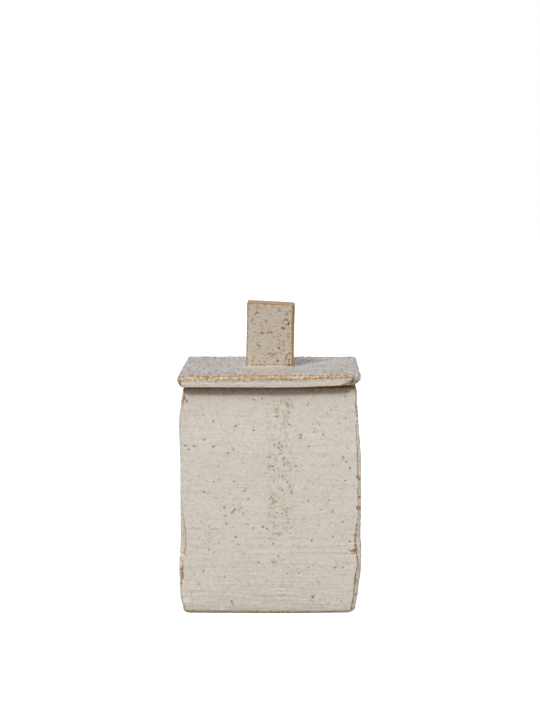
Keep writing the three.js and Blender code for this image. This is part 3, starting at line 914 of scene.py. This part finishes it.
# %% The skin of the walls
FOOT_REACH = 1.3
RIM_REACH = 1.2
RIM_LEAN = 1.25  # how far the front wall leans back under the lid
RIM_LEANS = (102, 156)  # from which height, and up to which
wall_rows = section(
    [(WALL, 0), (0, 0), (0, RIM), (WALL, RIM)],
    [14, 236, 16, 64],
    [0, FOOT_REACH, 2 * RIM_REACH, RIM_REACH],
)
wall_columns = ring_columns(196, 7)
walls = rings(wall_rows, wall_columns, wall_line, wall_pared, 0.25)
wall_inward = np.array([row[0] for row in wall_rows])[:, None]
on_outside = ramp(wall_inward, 1.5, 0.2)


def foot_lift(p):
    """The fired foot stands clear of the table by a hair at its front right corner."""
    return 0.75 * ramp(p[..., 0], 5, 60) * ramp(-p[..., 1], 10, 60) * ramp(p[..., 2], 26, 0)


def wall_relief(p):
    """How far the surface of the walls stands out or in, in millimetres."""
    x, y, z = xyz(p)
    front = ramp(-y, 49, 54)
    slow = 0.16 * lumps(p, 34, 1) + 0.07 * lumps(p, 12, 2)
    lower = 0.6 + 0.8 * ramp(z, 90, 20)
    ridges = 0.075 * lumps(p, (30, 30, 2.1), 3) * lower + 0.045 * lumps(p, (16, 16, 1.3), 4) * lower
    grit = 0.04 * lumps(p, 1.7, 5) + 0.07 * np.clip(lumps(p, 3.1, 6) - 0.35, 0, 1)
    in_band = front * ramp(np.abs(x - BAND_MIDDLE), BAND_HALF, 4) * ramp(z, 28, 60) * ramp(z, 150, 138)
    in_band = in_band * ramp(lumps(p, (12, 12, 20), 17), -0.35, 0.25)
    wrinkles = 0.19 * lumps(p, (1.9, 1.9, 8), 7) + 0.06 * lumps(p, 2.2, 8)
    wrinkles = wrinkles + 0.30 * curls(p, (2.8, 2.8, 6), 14, -0.2)
    wrinkles = wrinkles - 0.24 * curls(p, (2.6, 2.6, 7), 16, -0.1)
    smear = front * 0.16 * bell(z - 46.4 - 0.02 * (x - 30), 0.9) * ramp(x, 8, 20)
    return slow + ridges + grit + in_band * wrinkles + smear


def corner_wear(p):
    """Nicks and grains along the pared edges."""
    corner = np.minimum(np.abs(p[..., 0]), np.abs(p[..., 1]))
    near = ramp(corner, 52.5, 56.5)
    return near * (0.16 * lumps(p, (5, 5, 4), 10) + 0.04 * lumps(p, 1.9, 11))


front_rim = ramp(-walls[..., 1], 44, 55) * ramp(walls[..., 2], *RIM_LEANS)
walls[..., 1] += RIM_LEAN * front_rim * np.clip(1 - wall_inward / WALL, 0, 1)
relief = wall_relief(walls) + corner_wear(walls)
walls = walls + outward(walls, True) * (relief * (0.25 + 0.75 * on_outside))[..., None]
walls[..., 2] += foot_lift(walls)
walls[..., 2] = np.maximum(walls[..., 2], 0)
print("skin of the walls:", walls.shape, "relief", round(float(relief.std()), 3), "mm")

# %% What the walls carry
# Bare clay below the rim: partly the wiped rim where the lid rests, partly painted shade under the
# lid's overhang.
wipe_and_shade_line = 1.3 + 0.3 * lumps(walls, (9, 9, 4), 12)
foot_line = 1.0 + 0.5 * lumps(walls, (9, 9, 4), 13)
height = walls[..., 2]
foot_height = height - foot_lift(walls)
wall_bare_and_shade = np.maximum(height - (RIM - wipe_and_shade_line), foot_line - foot_height)
# More worn glaze in the last few millimetres under the rim is painted shade under the lid, with some
# thin glaze at the rim. At the foot it is the glaze breaking.
wall_worn_and_painted_shade = ramp(height, RIM - 6.0, RIM - 1.8) + 1.15 * ramp(height, 3.4, 1.5)
# Darker and more tan towards the rim: painted shade that evens out the light on the upper walls, and a
# little thinner glaze.
wall_worn_and_painted_shade += 0.15 * ramp(height, 116, 146)
# Painted shade: the upper walls take some of the painted cool grey, darkening them where the lamps
# light them more.
wall_painted_shade = 0.25 * ramp(height, 112, 146) * on_outside
wall_thin = thinness(walls, True) * edge_glaze(walls)
wall_carries = {"thin": wall_thin, "bare": wall_bare_and_shade, "worn": wall_worn_and_painted_shade, "flat": wall_painted_shade}
print("thinness on the walls: 50%, 99% of points under", np.percentile(wall_thin, [50, 99]).round(3))

# %% The four wall slabs
for i, side in enumerate(SIDES):
    take = side_columns(walls, i)
    make_piece(
        f"{side}_wall_slab", "box", f"{side}_wall", body_glaze,
        walls[:, take], {key: value[:, take] for key, value in wall_carries.items()}, True, False,
    )
print("wall pieces:", [(p.name, len(p.data.polygons), round(solid_volume(p), 1)) for p in made])

# %% [markdown]
# ## The floor
# The floor slab sits between the walls. Inside it is glazed and a little uneven, and underneath it
# is bare where the box stands.

# %% The floor slab
floor_rows = [(0.0, 0.0, share) for share in np.linspace(0.01, 1, 40)]
floor_rows += [(0.0, z, 1.0) for z in np.linspace(0, FLOOR, 7)[1:-1]]
floor_rows += [(0.0, FLOOR, share) for share in np.linspace(1, 0.01, 56)]


def floor_line(i, t, z):
    return wall_line(i, t, np.maximum(z, 0.0)) - WALL


def floor_pared(i, z, inward):
    return 0.2 + 0 * z


floor = rings(floor_rows, ring_columns(70, 1), floor_line, floor_pared, 0.2, hub=0.5)
uneven = 0.14 * lumps(floor, 16, 20) + 0.05 * lumps(floor, 3.5, 21)
is_top = ramp(floor[..., 2], FLOOR - 0.5, FLOOR)
floor[..., 2] += uneven * is_top
floor[..., 2] += (0.12 + 0.08 * lumps(floor, 9, 22)) * ramp(floor[..., 2], 0.5, 0)
floor_piece = make_piece(
    "floor_slab", "box", "base_slab", body_glaze, floor,
    {"bare": 3.0 - floor[..., 2]}, False, True, smooth_ends=True,
)
print("floor volume", round(solid_volume(floor_piece), 1), "cm3")

# %% [markdown]
# ## Coils in the inner seams
# Inside, a thin coil of clay is pressed into every seam with a fingertip, which leaves a hollow
# curve with a shallow dip for each press. A strip with a hollow section follows each seam. Its edges
# run out into the slabs.

# %% Seam coils
COIL = 4.5
SINK = 0.5  # how deep the strip's back lies in the slabs
PRESS = 11.0  # from one fingertip to the next
CROSS = 14


def coil_section(dip):
    """Points across a coil: the hollow face from one slab to the other, then the back."""
    angle = np.linspace(0, math.pi / 2, CROSS)
    grow = COIL + dip[:, None]
    a = grow * (1 - np.sin(angle)) - 0.05
    b = grow * (1 - np.cos(angle)) - 0.05
    sunk, edge = -SINK + 0 * dip, grow[:, 0] * 0.9
    back_a, back_b = np.stack([sunk, sunk, edge], -1), np.stack([edge, sunk, sunk], -1)
    return np.concatenate([a, back_a], 1), np.concatenate([b, back_b], 1)


def pressed(s, turn, y, z, seed):
    """How much deeper the coil is at places along it: fingertip dips, and some chance."""
    chance = lumps(np.stack([s, s * 0 + y, s * 0 + z], -1), 20, seed)
    return 0.35 * np.cos(s * 2 * math.pi / PRESS + turn) + 0.3 * chance


def turned(along, out, z, i):
    """A strip laid out along one side, turned to that side."""
    turn = i * math.pi / 2
    x = along * math.cos(turn) + out * math.sin(turn)
    y = along * math.sin(turn) - out * math.cos(turn)
    return np.stack([x, y, z + 0 * x], -1).transpose(1, 0, 2)


def jitter(skin, size, seed):
    """Noise in all three directions."""
    return np.stack([lumps(skin, size, seed + k) for k in range(3)], -1)


def coil_piece(name, node, skin):
    skin = skin + 0.06 * jitter(skin, 2.5, 30)
    make_piece(name, "box", node, inside_glaze, skin, {}, True, False)


for i, side in enumerate(SIDES):
    reach = HALF_RIM - WALL + 2
    s = np.linspace(-reach, reach, 120)
    a, b = coil_section(pressed(s, 0, 0, i, 31))
    z = FLOOR + b
    inner = wall_line(i, np.clip(s / reach, -1, 1)[:, None], z) - WALL
    coil_piece(f"{side}_floor_seam", f"{side}_floor_coil", turned(s[:, None], inner - a, z, i))

for i, side in enumerate(SIDES):
    after = SIDES[(i + 1) % 4]
    node = f"{side}_{after}_coil"
    s = np.linspace(FLOOR - 1, span(node)[1][2], 130)
    a, b = coil_section(pressed(s, i, i, 0, 32))
    fade = ramp(s, s[-1], s[-1] - 5)[:, None]
    a, b = a * fade - SINK * (1 - fade), b * fade - SINK * (1 - fade)
    z = s[:, None]
    along = wall_line((i + 1) % 4, -1, z) - WALL - a
    out = wall_line(i, 1, z) - WALL - b
    coil_piece(f"{side}_{after}_seam", node, turned(along, out, z, i)[::-1])
print("coils:", len(made) - 5, "volume of one", round(solid_volume(made[-1]), 2))

# %% [markdown]
# ## The lid
# The lid is one thick slab. Its edge slopes in towards the underside, a rough bevel was pared off
# the front, wide at the left and narrow at the right, and the front right corner was cut across and
# then lifted in the fire. The skin is a ring of clay: it starts at the small vent hole, runs out
# along the underside, round the edge, and back over the top.

# %% The edge of the lid
LID_CUT = (5.2, 2.4, 2.0, 2.3)  # cut across the corner after each side
FRONT_OUT = 0.8  # how much further the lid stands out at the front
UNDERCUT = 2.4
BELLY = 3.4  # height of the widest line
SIDE_BEVEL = 0.9
VENT = 3.0  # radius of the hole under the knob
KNOB_MIDDLE = (-0.5, 2.5)
KNOB_HALF_WIDTH = 16.35
KNOB_HALF_DEPTH = 13.5
FRONT_TOP = [(-61, -0.75), (-30, -0.5), (0, -0.1), (20, -0.05), (40, 0.3), (61, 0.65)]
FRONT_UNDER = [(-61, 0.05), (-20, 0), (12, 0), (30, 0.35), (42, 0.8), (55, 1.5), (61, 1.8)]
FRONT_BEVEL = [(-61, 2.6), (-30, 2.5), (0, 2.2), (20, 2.05), (40, 1.5), (61, 1.1)]

edge_rows = section(
    [(UNDERCUT + 6, 0), (UNDERCUT, 0), (0, BELLY), (0, LID_THICK), (6, LID_THICK)],
    [6, 10, 16, 14],
    [0, 0.45, 1.0, 0.8],
    closed=False,
)
print("rows round the edge:", len(edge_rows))
under_rows = [(edge_rows[0][0], 0.0, share) for share in eased(12, 0.3)[:-1]]
top_rows = [(edge_rows[-1][0], LID_THICK, share) for share in 1 - eased(82, -0.1)[1:]]
vent_rows = [(0.0, z, 0.0) for z in np.linspace(LID_THICK, 0, 6)[1:-1]]
lid_rows = under_rows + edge_rows + top_rows + vent_rows


def lid_line(i, t, z):
    return LID_HALF + (FRONT_OUT if SIDES[i] == "front" else 0) + 0 * t + 0 * z


def lid_cut(i, z, inward):
    return LID_CUT[i] * np.clip(1 - inward / 14, 0.3, 1)


lid = rings(lid_rows, ring_columns(160, 5), lid_line, lid_cut, 0.3, hub=VENT, axis=KNOB_MIDDLE)

# %% The shape of the lid
across, deep, up = xyz(lid)  # across and deep follow the lid when it is moved below
up = up.copy()
to_front = ramp(-deep, -10, 58)
front_edge = ramp(-deep, 50, 56.5) * ramp(np.abs(across), 62, 57)
bevel = through(FRONT_BEVEL, across)
from_edge = LID_HALF + FRONT_OUT + deep  # inward from the front line
pared_top = np.clip((bevel - from_edge) / bevel, 0, 1)
cut_down = bevel * pared_top * front_edge * ramp(up, LID_THICK - 3.2, LID_THICK - 0.4)
side_inset = np.maximum(np.abs(across), deep) - (LID_HALF - SIDE_BEVEL)
near_top = ramp(up, LID_THICK - 2.0, LID_THICK - 0.1)
side_down = np.clip(side_inset, 0, SIDE_BEVEL) * near_top * (1 - front_edge)
share_up = up / LID_THICK
under_face = ramp(-deep, LID_HALF - UNDERCUT - 7, LID_HALF - UNDERCUT)
under_face = under_face * ramp(np.abs(across), 62, 57)
lid[..., 1] -= 0.95 * UNDERCUT * np.clip(1 - up / BELLY, 0, 1) * under_face
lift = through(FRONT_TOP, across) * share_up + through(FRONT_UNDER, across) * (1 - share_up)
lift = to_front * lift
droop = 0.35 * under_face * (1 - share_up) * ramp(across, 40, 10)
at_back = 0.18 * ramp(deep, 20, 60) * share_up
lid[..., 2] = SEAT + up - cut_down - side_down + lift - droop + at_back
corner_under = ramp(across, 47, 57) * ramp(-deep, 50, 57) * ramp(up, 4.2, 0.3)
lid[..., 1] += 2.6 * corner_under
print("the front edge lifts by", lift.min().round(2), "to", lift.max().round(2), "mm")

# %% [markdown]
# ## Grog in the lid
# The lid's clay holds coarse grains of fired clay, called grog. Under a thin glaze they stand up as
# lumps, and the glaze runs off their crests, which turn brown. A bump map would leave the back edge
# of the lid straight, so each grain is a round lump of the skin itself. Seeded dice place them, and
# a few are listed one by one where they break the back edge.

# %% Grog under the lid's glaze
GROG_COUNT = 760
GROG_AT_BACK = (-59.7, -48.2, -40.6, -30.4, 26.7, 32.1, 40.0, 56.3)  # lumps that break the back edge
BACK_EDGE = 59.4


def grog_lumps():
    """Coarse grains in the lid: place, radius and height of each."""
    cast = np.random.default_rng(GROG_SEED)
    x, y = cast.uniform(-60, 60, (2, GROG_COUNT))
    crowd = 1.0 - 0.15 * ramp(x, -30, 50)
    radius = cast.uniform(0.7, 1.2, GROG_COUNT)
    height = (0.2 + 0.65 * cast.random(GROG_COUNT) ** 1.5) * crowd
    height = height * (1 - 0.8 * ramp(y, 56.5, 58.5))
    known = [(place, BACK_EDGE, 0.8, 0.3) for place in GROG_AT_BACK]
    return known + list(zip(x, y, radius, height))


grog = 0.0 * across
grog_crest = 0.0 * across
for place_x, place_y, radius, height in grog_lumps():
    aside, back = across - place_x, deep - place_y
    grog = np.maximum(grog, height * np.exp(-(aside**2 + back**2) / radius**2))
    crest = np.exp(-(aside**2 + (back - 0.3) ** 2) / (0.7 * radius) ** 2)
    grog_crest = np.maximum(grog_crest, ramp(height, 0.1, 0.5) * crest)
print("grog stands up to", grog.max().round(2), "mm high")

# %% The surface of the lid
in_hole = ramp(np.hypot(across - KNOB_MIDDLE[0], deep - KNOB_MIDDLE[1]), 4, 8)
top_side = ramp(up, 5.0, 7.4)
under_side = ramp(up, 1.2, 0.1)
bevel_zone = front_edge * ramp(up, 4.4, 5.6) * ramp(from_edge, bevel + 1.6, bevel * 0.5)
grit = 0.09 * lumps(lid, 1.9, 40) + 0.14 * np.clip(lumps(lid, 3.2, 41), -0.2, 1)
grit += 0.05 * lumps(lid, (7, 7, 2), 42)
lid_curls = 0.6 * curls(lid, 4.5, 48, 0.1, 5.0) + 0.5 * curls(lid, 3.3, 54, 0.1, 4.5)
knob_away = np.maximum(
    np.abs(across - KNOB_MIDDLE[0]) - KNOB_HALF_WIDTH,
    np.abs(deep - KNOB_MIDDLE[1]) - KNOB_HALF_DEPTH,
)
bead = bell(knob_away - 0.6, 0.7) * top_side
lid_relief = grit * (0.35 + 0.65 * top_side) * (1 - 0.85 * under_side)
lid_relief += (0.5 * lid_curls + grog) * top_side + 0.35 * bead
lid_relief += 0.10 * lumps(lid, 26, 43) + 0.05 * lumps(lid, 9, 44)
lid_relief += bevel_zone * (0.20 * lumps(lid, 2.6, 45) + 0.12 * lumps(lid, 1.3, 46) - 0.1)
lid = lid + outward(lid, True) * (lid_relief * in_hole)[..., None]
lid[..., 2] = np.maximum(lid[..., 2], SEAT - 0.05 - droop)
print("skin of the lid:", lid.shape)

# %% What the lid carries
lid_corner = ramp(np.minimum(np.abs(lid[..., 0]), np.abs(lid[..., 1])), 51, 55)
lid_thin = thinness(lid, True) * (1 - 0.72 * lid_corner)
upper_line = front_edge * bell(from_edge - bevel, 0.45) * ramp(up, LID_THICK - 0.8, LID_THICK - 0.1)
lower_line = front_edge * bell(from_edge, 0.4) * ramp(up, 6.4, 7.4)
broken = 0.5 + ramp(lumps(lid, (9, 9, 3), 58), -0.2, 0.3)
under_line = front_edge * ramp(up, 0.9, 0.3) * ramp(from_edge, 1.2, 0.5) * broken
below_cut = bell(up - 0.4 * (across - 48), 0.8) * ramp(across, 56, 54)
corner_line = ramp(-deep, 50, 56) * ramp(across, 46, 49) * below_cut
for fold, width in ((55.3, 0.6), (-58.6, 0.5)):
    upright = ramp(up, 0.6, 2.0) * ramp(up, 7.8, 6.5)
    corner_line += ramp(-deep, 55, 58) * bell(across - fold, width) * upright
lid_thin += 0.10 * upper_line + 0.10 * lower_line + 0.08 * under_line + 0.17 * corner_line
print("thinness on the lid: 50%, 99% of points under", np.percentile(lid_thin, [50, 99]).round(3))

patches = 0.10 + lid_curls + 0.4 * ramp(lumps(lid, (4, 6, 4), 49), 0.3, 0.6)
# The lid's top just in front of the knob is made warmer and more tan below: a painted reflection of
# the knob's front, not wear.
painted_knob_reflection = ramp(np.abs(across - KNOB_MIDDLE[0]), 19, 14) * ramp(deep, -8, -13)
lid_worn_and_reflection = bevel_zone * (1.0 + 0.9 * lumps(lid, (2.0, 2.2, 0.9), 51)) - 0.9 * bead
lid_worn_and_reflection += top_side * (grog_crest * (2.2 + 1.4 * lumps(lid, 1.1, 59)) + patches + 0.3 * painted_knob_reflection)
# The painted grey carried as `flat`: painted reflection on the facet of the cut corner, painted shade
# on the undercut below it, and on the top a cool grey that stands for the reflection and the weaker
# light at a grazing angle. Grog lumps that catch the light are left without it.
clipped = ramp(across - deep, 116.3, 117.0) * ramp(across, 50, 54)
top_painted_shade = ramp(up, LID_THICK - 1.2, LID_THICK - 0.3) * (1 - bevel_zone)
lid_painted_shade = np.maximum(top_painted_shade, np.maximum(clipped, corner_under))
lid_painted_shade = lid_painted_shade * (1 - 0.9 * ramp(grog, 0.08, 0.3) * top_side)
lid_bare = SEAT + lift + 0.1 + 0.3 * lumps(lid, (6, 6, 3), 47) - lid[..., 2]

# %% The lid piece
lid_piece = make_piece(
    "lid_slab_skin", "lid", "lid_slab", lid_glaze, lid,
    {"thin": lid_thin * in_hole, "bare": lid_bare, "worn": lid_worn_and_reflection, "flat": lid_painted_shade}, True, True,
)
print("lid faces", len(lid_piece.data.polygons), "volume", round(solid_volume(lid_piece), 1), "cm3")

# %% [markdown]
# ## The locating flange
# Four thin strips under the lid drop inside the rim, so the lid can't slide. They were cut with a
# bevel that leads them into the mouth and were never glazed.

# %% The flange strips
FLANGE_OUT = 48.7  # from the middle to the strips' outer faces
FLANGE_WIDTH = 6.0
FLANGE_DEEP = 9.0
FLANGE_LEAD = 2.0


def strip_section():
    rows = section(
        [(0, 0.4), (0, -FLANGE_DEEP + FLANGE_LEAD), (FLANGE_LEAD, -FLANGE_DEEP),
         (FLANGE_WIDTH, -FLANGE_DEEP), (FLANGE_WIDTH, 0.4)],
        [14, 6, 8, 14, 8],
        [0, 0.9, 0.9, 1.2, 0],
    )
    return np.array(rows)[:, :2].T


for i, side in enumerate(SIDES):
    inward, drop = strip_section()
    out = FLANGE_OUT - inward[None, :]
    along = np.linspace(-1, 1, 90)[:, None] * (out - 0.1)
    strip = turned(along, out + 0 * along, SEAT - 0.05 + drop[None, :], i)
    flange_lift = through(FRONT_UNDER, strip[..., 0]) * ramp(-strip[..., 1], -10, 58)
    strip[..., 2] += flange_lift * ramp(strip[..., 2], SEAT - 3, SEAT)
    strip = strip + 0.10 * jitter(strip, 3.5, 50) * ramp(strip[..., 2:], SEAT - 0.2, SEAT - 1.2)
    make_piece(
        f"{side}_flange", "lid", f"{side}_flange_strip", bare, strip[::-1],
        {}, True, False,
    )
print("flange volume", round(solid_volume(made[-1]), 2), "cm3")

# %% [markdown]
# ## The knob
# The knob is a small chimney of four mitred slabs with a fifth laid on top. It leans a little to the
# right and its top slopes the same way. Its clay is the roughest on the box: pits where grit was
# dragged out, a short scratch, and a thumb-sized smear by the right edge of the foot. All of that is
# in the skin, with points about a third of a millimetre apart.

# %% The shape of the knob
KNOB_HEIGHT = 43.55
KNOB_WALL = 5.0
KNOB_WORN = 0.22  # how thin the glaze lies all over the knob
KNOB_DROP = 1.65  # how much lower the top is at the right


def knob_worn(p):
    """How thin the glaze lies: pooled down the left, thin to the right, scuffed off on top."""
    x, z = p[..., 0], p[..., 2] - KNOB_FOOT
    front = ramp(-p[..., 1], 9.5, 10.8)
    found = KNOB_WORN + 0.25 * lumps(p, 7, 65)
    aside = 0.35 * ramp(x, 7, 15) - 0.35 * ramp(x, -12.0, -13.6)
    aside = aside + 1.9 * ramp(x, 13.9, 15.2) + 0.6 * ramp(x, -14.9, -15.6)
    at_foot = 1.2 * ramp(z, 2.3, 1.5) * ramp(z, 0.8, 1.2) - 0.9 * ramp(z, 1.0, 0.7)
    found = found + front * aside + front * at_foot
    level = z + KNOB_DROP * x / (2 * KNOB_HALF_WIDTH)
    on_top = ramp(level, KNOB_HEIGHT - 1.1, KNOB_HEIGHT - 0.3)
    return found + on_top * (0.85 + 0.6 * ramp(lumps(p, 1.8, 64), -0.4, 0.5))


CAP_SEAM = 38.45  # height of the joint under the cap
KNOB_EDGE = [  # width of the pared edge after each side
    [(0, 1.2), (20, 1.0), (44, 1.1)],
    [(0, 1.0), (44, 1.2)],
    [(0, 1.2), (44, 0.9)],
    [(0, 0.8), (25, 0.7), (44, 1.3)],
]


def knob_line(i, t, z):
    half = KNOB_HALF_DEPTH if i % 2 == 0 else KNOB_HALF_WIDTH
    flare = 0.5 * np.exp(-np.maximum(z, 0) / 0.7)
    waist = -0.12 * np.sin(np.clip(z / KNOB_HEIGHT, 0, 1) * math.pi)
    return half + flare + waist + 0 * t


def knob_edge(i, z, inward):
    return through(KNOB_EDGE[i], z) * np.clip(1 - inward / KNOB_WALL, 0.02, 1)


def settle(p):
    """Leans the square chimney to the right and slopes its top."""
    share = p[..., 2:] / KNOB_HEIGHT
    slope = KNOB_DROP * share * p[..., :1] / (2 * KNOB_HALF_WIDTH)
    moved = [-0.4 + 0.79 * share, KNOB_MIDDLE[1] + 0 * share, KNOB_FOOT - 0.25 - slope]
    return p + np.concatenate(moved, -1)


PITS = [  # across, up from the foot, radius and depth of the larger pits on the front of the knob
    (-8.8, 36.8, 0.7, 0.4), (9.6, 31.4, 0.7, 0.35), (11.4, 32.0, 0.7, 0.35), (12.5, 29.4, 0.9, 0.7),
    (8.3, 26.5, 0.9, 0.5), (9.1, 25.9, 0.6, 0.6), (-0.9, 24.1, 0.8, 0.4), (0.8, 23.4, 0.7, 0.35),
    (-5.6, 23.0, 0.7, 0.4), (5.1, 4.0, 0.7, 0.7), (6.0, 38.8, 0.8, 0.4), (-8.8, 14.8, 0.8, 0.3),
    (5.9, 12.6, 0.8, 0.25), (13.0, 1.2, 0.8, 0.6), (13.0, 5.0, 0.8, 0.4), (-2.8, 31.0, 0.7, 0.3),
]


def knob_relief(p):
    x, y, z = p[..., 0], p[..., 1], p[..., 2] - KNOB_FOOT
    front = ramp(-y, 8.5, 10.2)
    found = 0.10 * lumps(p, 9, 60) + 0.09 * lumps(p, 1.7, 61) + 0.07 * lumps(p, 0.95, 62)
    found += 0.10 * np.clip(lumps(p, 2.8, 63), -1, 0.2)
    for across, up, radius, deep in PITS:
        found = found - front * deep * bell(np.hypot(x - across, z - up), radius)
    scratch = bell(z - 8.8, 0.35) * ramp(np.abs(x - 2.2), 4.2, 3.0)
    ring = np.abs(np.hypot((x - 13.6) / 3.4, (z - 4.6) / 5.2) - 1) * 3.6
    smear = bell(ring, 0.45) * ramp(x, 9.5, 10.5)
    found = found - front * (0.35 * scratch) + front * (0.4 * smear)
    return found * ramp(np.abs(z - 0.2), 0.0, 0.8)


knob_columns = ring_columns(92, 4, 0.45)
knob_rows = section([(0, 0), (0, KNOB_HEIGHT), (3, KNOB_HEIGHT)], [126, 9], [0, 0.75], closed=False)
joint = int(np.argmin([abs(row[1] - CAP_SEAM) for row in knob_rows]))
knob_rows += [(3.0, KNOB_HEIGHT, share) for share in np.linspace(1, 0.03, 34)[1:]]
knob = settle(rings(knob_rows, knob_columns, knob_line, knob_edge, 0.45, hub=0.3))
knob = knob + outward(knob, False) * knob_relief(knob)[..., None]
knob_thin = thinness(knob, False)
knob_thin += 0.14 * ramp(-knob[..., 1], 9.0, 10.2) * ramp(knob[..., 0], 14.4, 15.3)
print("skin of the knob:", knob.shape, "joint of the cap at row", joint)

# %% The knob pieces
joint_height = knob_rows[joint][1]
hidden_rows = section(
    [(0, joint_height), (KNOB_WALL, joint_height), (KNOB_WALL, 0), (0, 0)],
    [5, 14, 5], [0, 0.05, 0.05], closed=False,
)[1:-1]
hidden = settle(rings(hidden_rows, knob_columns, knob_line, knob_edge, 0.45))
shaft = np.concatenate([knob[: joint + 1], hidden])
shaft_thin = np.concatenate([knob_thin[: joint + 1], 0 * hidden[..., 0]])
shaft_worn = knob_worn(shaft)
for i, side in enumerate(SIDES):
    take = side_columns(shaft, i)
    make_piece(
        f"chimney_{side}", "lid", f"knob_{side}", knob_glaze, shaft[:, take],
        {"thin": shaft_thin[:, take], "worn": shaft_worn[:, take]}, True, False,
    )
under_rows = [(KNOB_WALL, joint_height, share) for share in np.linspace(0.04, 1, 10)]
under_rows += [(inward, joint_height, 1.0) for inward in np.linspace(KNOB_WALL, 0, 6)[1:-1]]
under = settle(rings(under_rows, knob_columns, knob_line, knob_edge, 0.45, hub=0.3))
cap = np.concatenate([under, knob[joint:]])
cap_thin = np.concatenate([0 * under[..., 0], knob_thin[joint:]])
make_piece(
    "chimney_cap", "lid", "knob_cap", knob_glaze, cap,
    {"thin": cap_thin, "worn": knob_worn(cap)}, False, True, smooth_ends=True,
)
print("pieces so far:", len(made))

# %% [markdown]
# ## Floor and light
# The box stands on a plain white table. The key lamp is a soft box high up at the front left: it
# throws the lid's narrow shadow on the front and the knob's shadow to the right. A wide lamp above
# it opens the front wall, a faint low one keeps the foot from going black, and one at each side
# lifts the side walls. A cool lamp behind and a cool surround tint the tops, and two lamps at the
# back show the far side when the box is turned. Table and surround look white to the camera, but
# the table gives back less light than white paper would, and warmer, so the shadow under the lid
# stays deep.

# %% The table
TABLE = 6.0


def table_material():
    f = Finish("white_table", base=colour(0.345, 0.328, 0.293))
    seen = f.node("ShaderNodeLightPath", "Is Camera Ray")
    paper = f.noise(3.0, 70)
    f.coat(f.mix(colour(0.50, 0.50, 0.50), colour(0.52, 0.52, 0.52), paper), seen)
    f.put("Roughness", f.step(paper, 0.0, 1.0, 0.86, 0.94))
    f.put("Specular IOR Level", 0.1)
    f.put("Emission Color", colour(1, 1, 1))
    f.put("Emission Strength", seen * 0.93)
    return f.done()


corners = [(-TABLE, -TABLE, 0), (TABLE, -TABLE, 0), (TABLE, TABLE, 0), (-TABLE, TABLE, 0)]
table_mesh = bpy.data.meshes.new("table")
table_mesh.from_pydata(corners, [], [(0, 1, 2, 3)])
table_mesh.materials.append(table_material())
table = bpy.data.objects.new("table", table_mesh)
bpy.context.scene.collection.objects.link(table)

# %% The surround
SURROUND = 0.10
world = bpy.data.worlds.new("surround")
bpy.context.scene.world = world
world.use_nodes = True
tree = world.node_tree
tree.nodes.clear()
seen = tree.nodes.new("ShaderNodeLightPath")
dim = tree.nodes.new("ShaderNodeBackground")
dim.inputs["Color"].default_value = colour(0.88, 0.94, 1.08)
dim.inputs["Strength"].default_value = SURROUND
bright = tree.nodes.new("ShaderNodeBackground")
bright.inputs["Color"].default_value = colour(1, 1, 1)
either = tree.nodes.new("ShaderNodeMixShader")
result = tree.nodes.new("ShaderNodeOutputWorld")
tree.links.new(seen.outputs["Is Camera Ray"], either.inputs[0])
tree.links.new(dim.outputs[0], either.inputs[1])
tree.links.new(bright.outputs[0], either.inputs[2])
tree.links.new(either.outputs[0], result.inputs["Surface"])


# %% The lamps
LAMPS = {  # place, size, level (the light on a white card that faces the lamp) and tint
    "key": ((-1.80, -4.00, 4.50), (1.3, 1.3), 0.48, (1.0, 0.98, 0.95)),
    "overhead": ((-0.50, -3.60, 5.30), (3.2, 3.2), 0.43, (1.0, 0.985, 0.97)),
    "low_front": ((-0.5, -5.0, 0.5), (3.2, 1.2), 0.025, (1.0, 0.985, 0.96)),
    "right": ((4.2, -1.2, 1.6), (2.0, 2.0), 0.27, (0.99, 0.985, 0.98)),
    "left": ((-4.2, -0.6, 1.4), (2.0, 2.0), 0.15, (1.0, 0.99, 0.97)),
    "behind": ((-0.2, 2.8, 0.55), (3.6, 1.1), 0.17, (0.70, 0.80, 1.0)),
    "back_left": ((-2.9, 2.2, 0.8), (1.4, 1.4), 0.25, (1.0, 0.99, 0.97)),
    "back_right": ((2.9, 2.2, 0.8), (1.4, 1.4), 0.25, (1.0, 0.99, 0.97)),
}
BOX_MIDDLE = Vector((0, 0, 0.1))  # what the lamps are aimed at

for name, (place, size, level, tint) in LAMPS.items():
    lamp = bpy.data.lights.new(name, "AREA")
    lamp.shape = "RECTANGLE"
    lamp.size, lamp.size_y = size
    aim = BOX_MIDDLE - Vector(place)
    lamp.energy = level * (math.pi * aim.length) ** 2
    lamp.color = tint
    holder = bpy.data.objects.new(name, lamp)
    holder.location = place
    holder.rotation_euler = aim.to_track_quat("-Z", "Y").to_euler()
    holder.visible_camera = False
    bpy.context.scene.collection.objects.link(holder)
print("lamps:", len(LAMPS))

# %% [markdown]
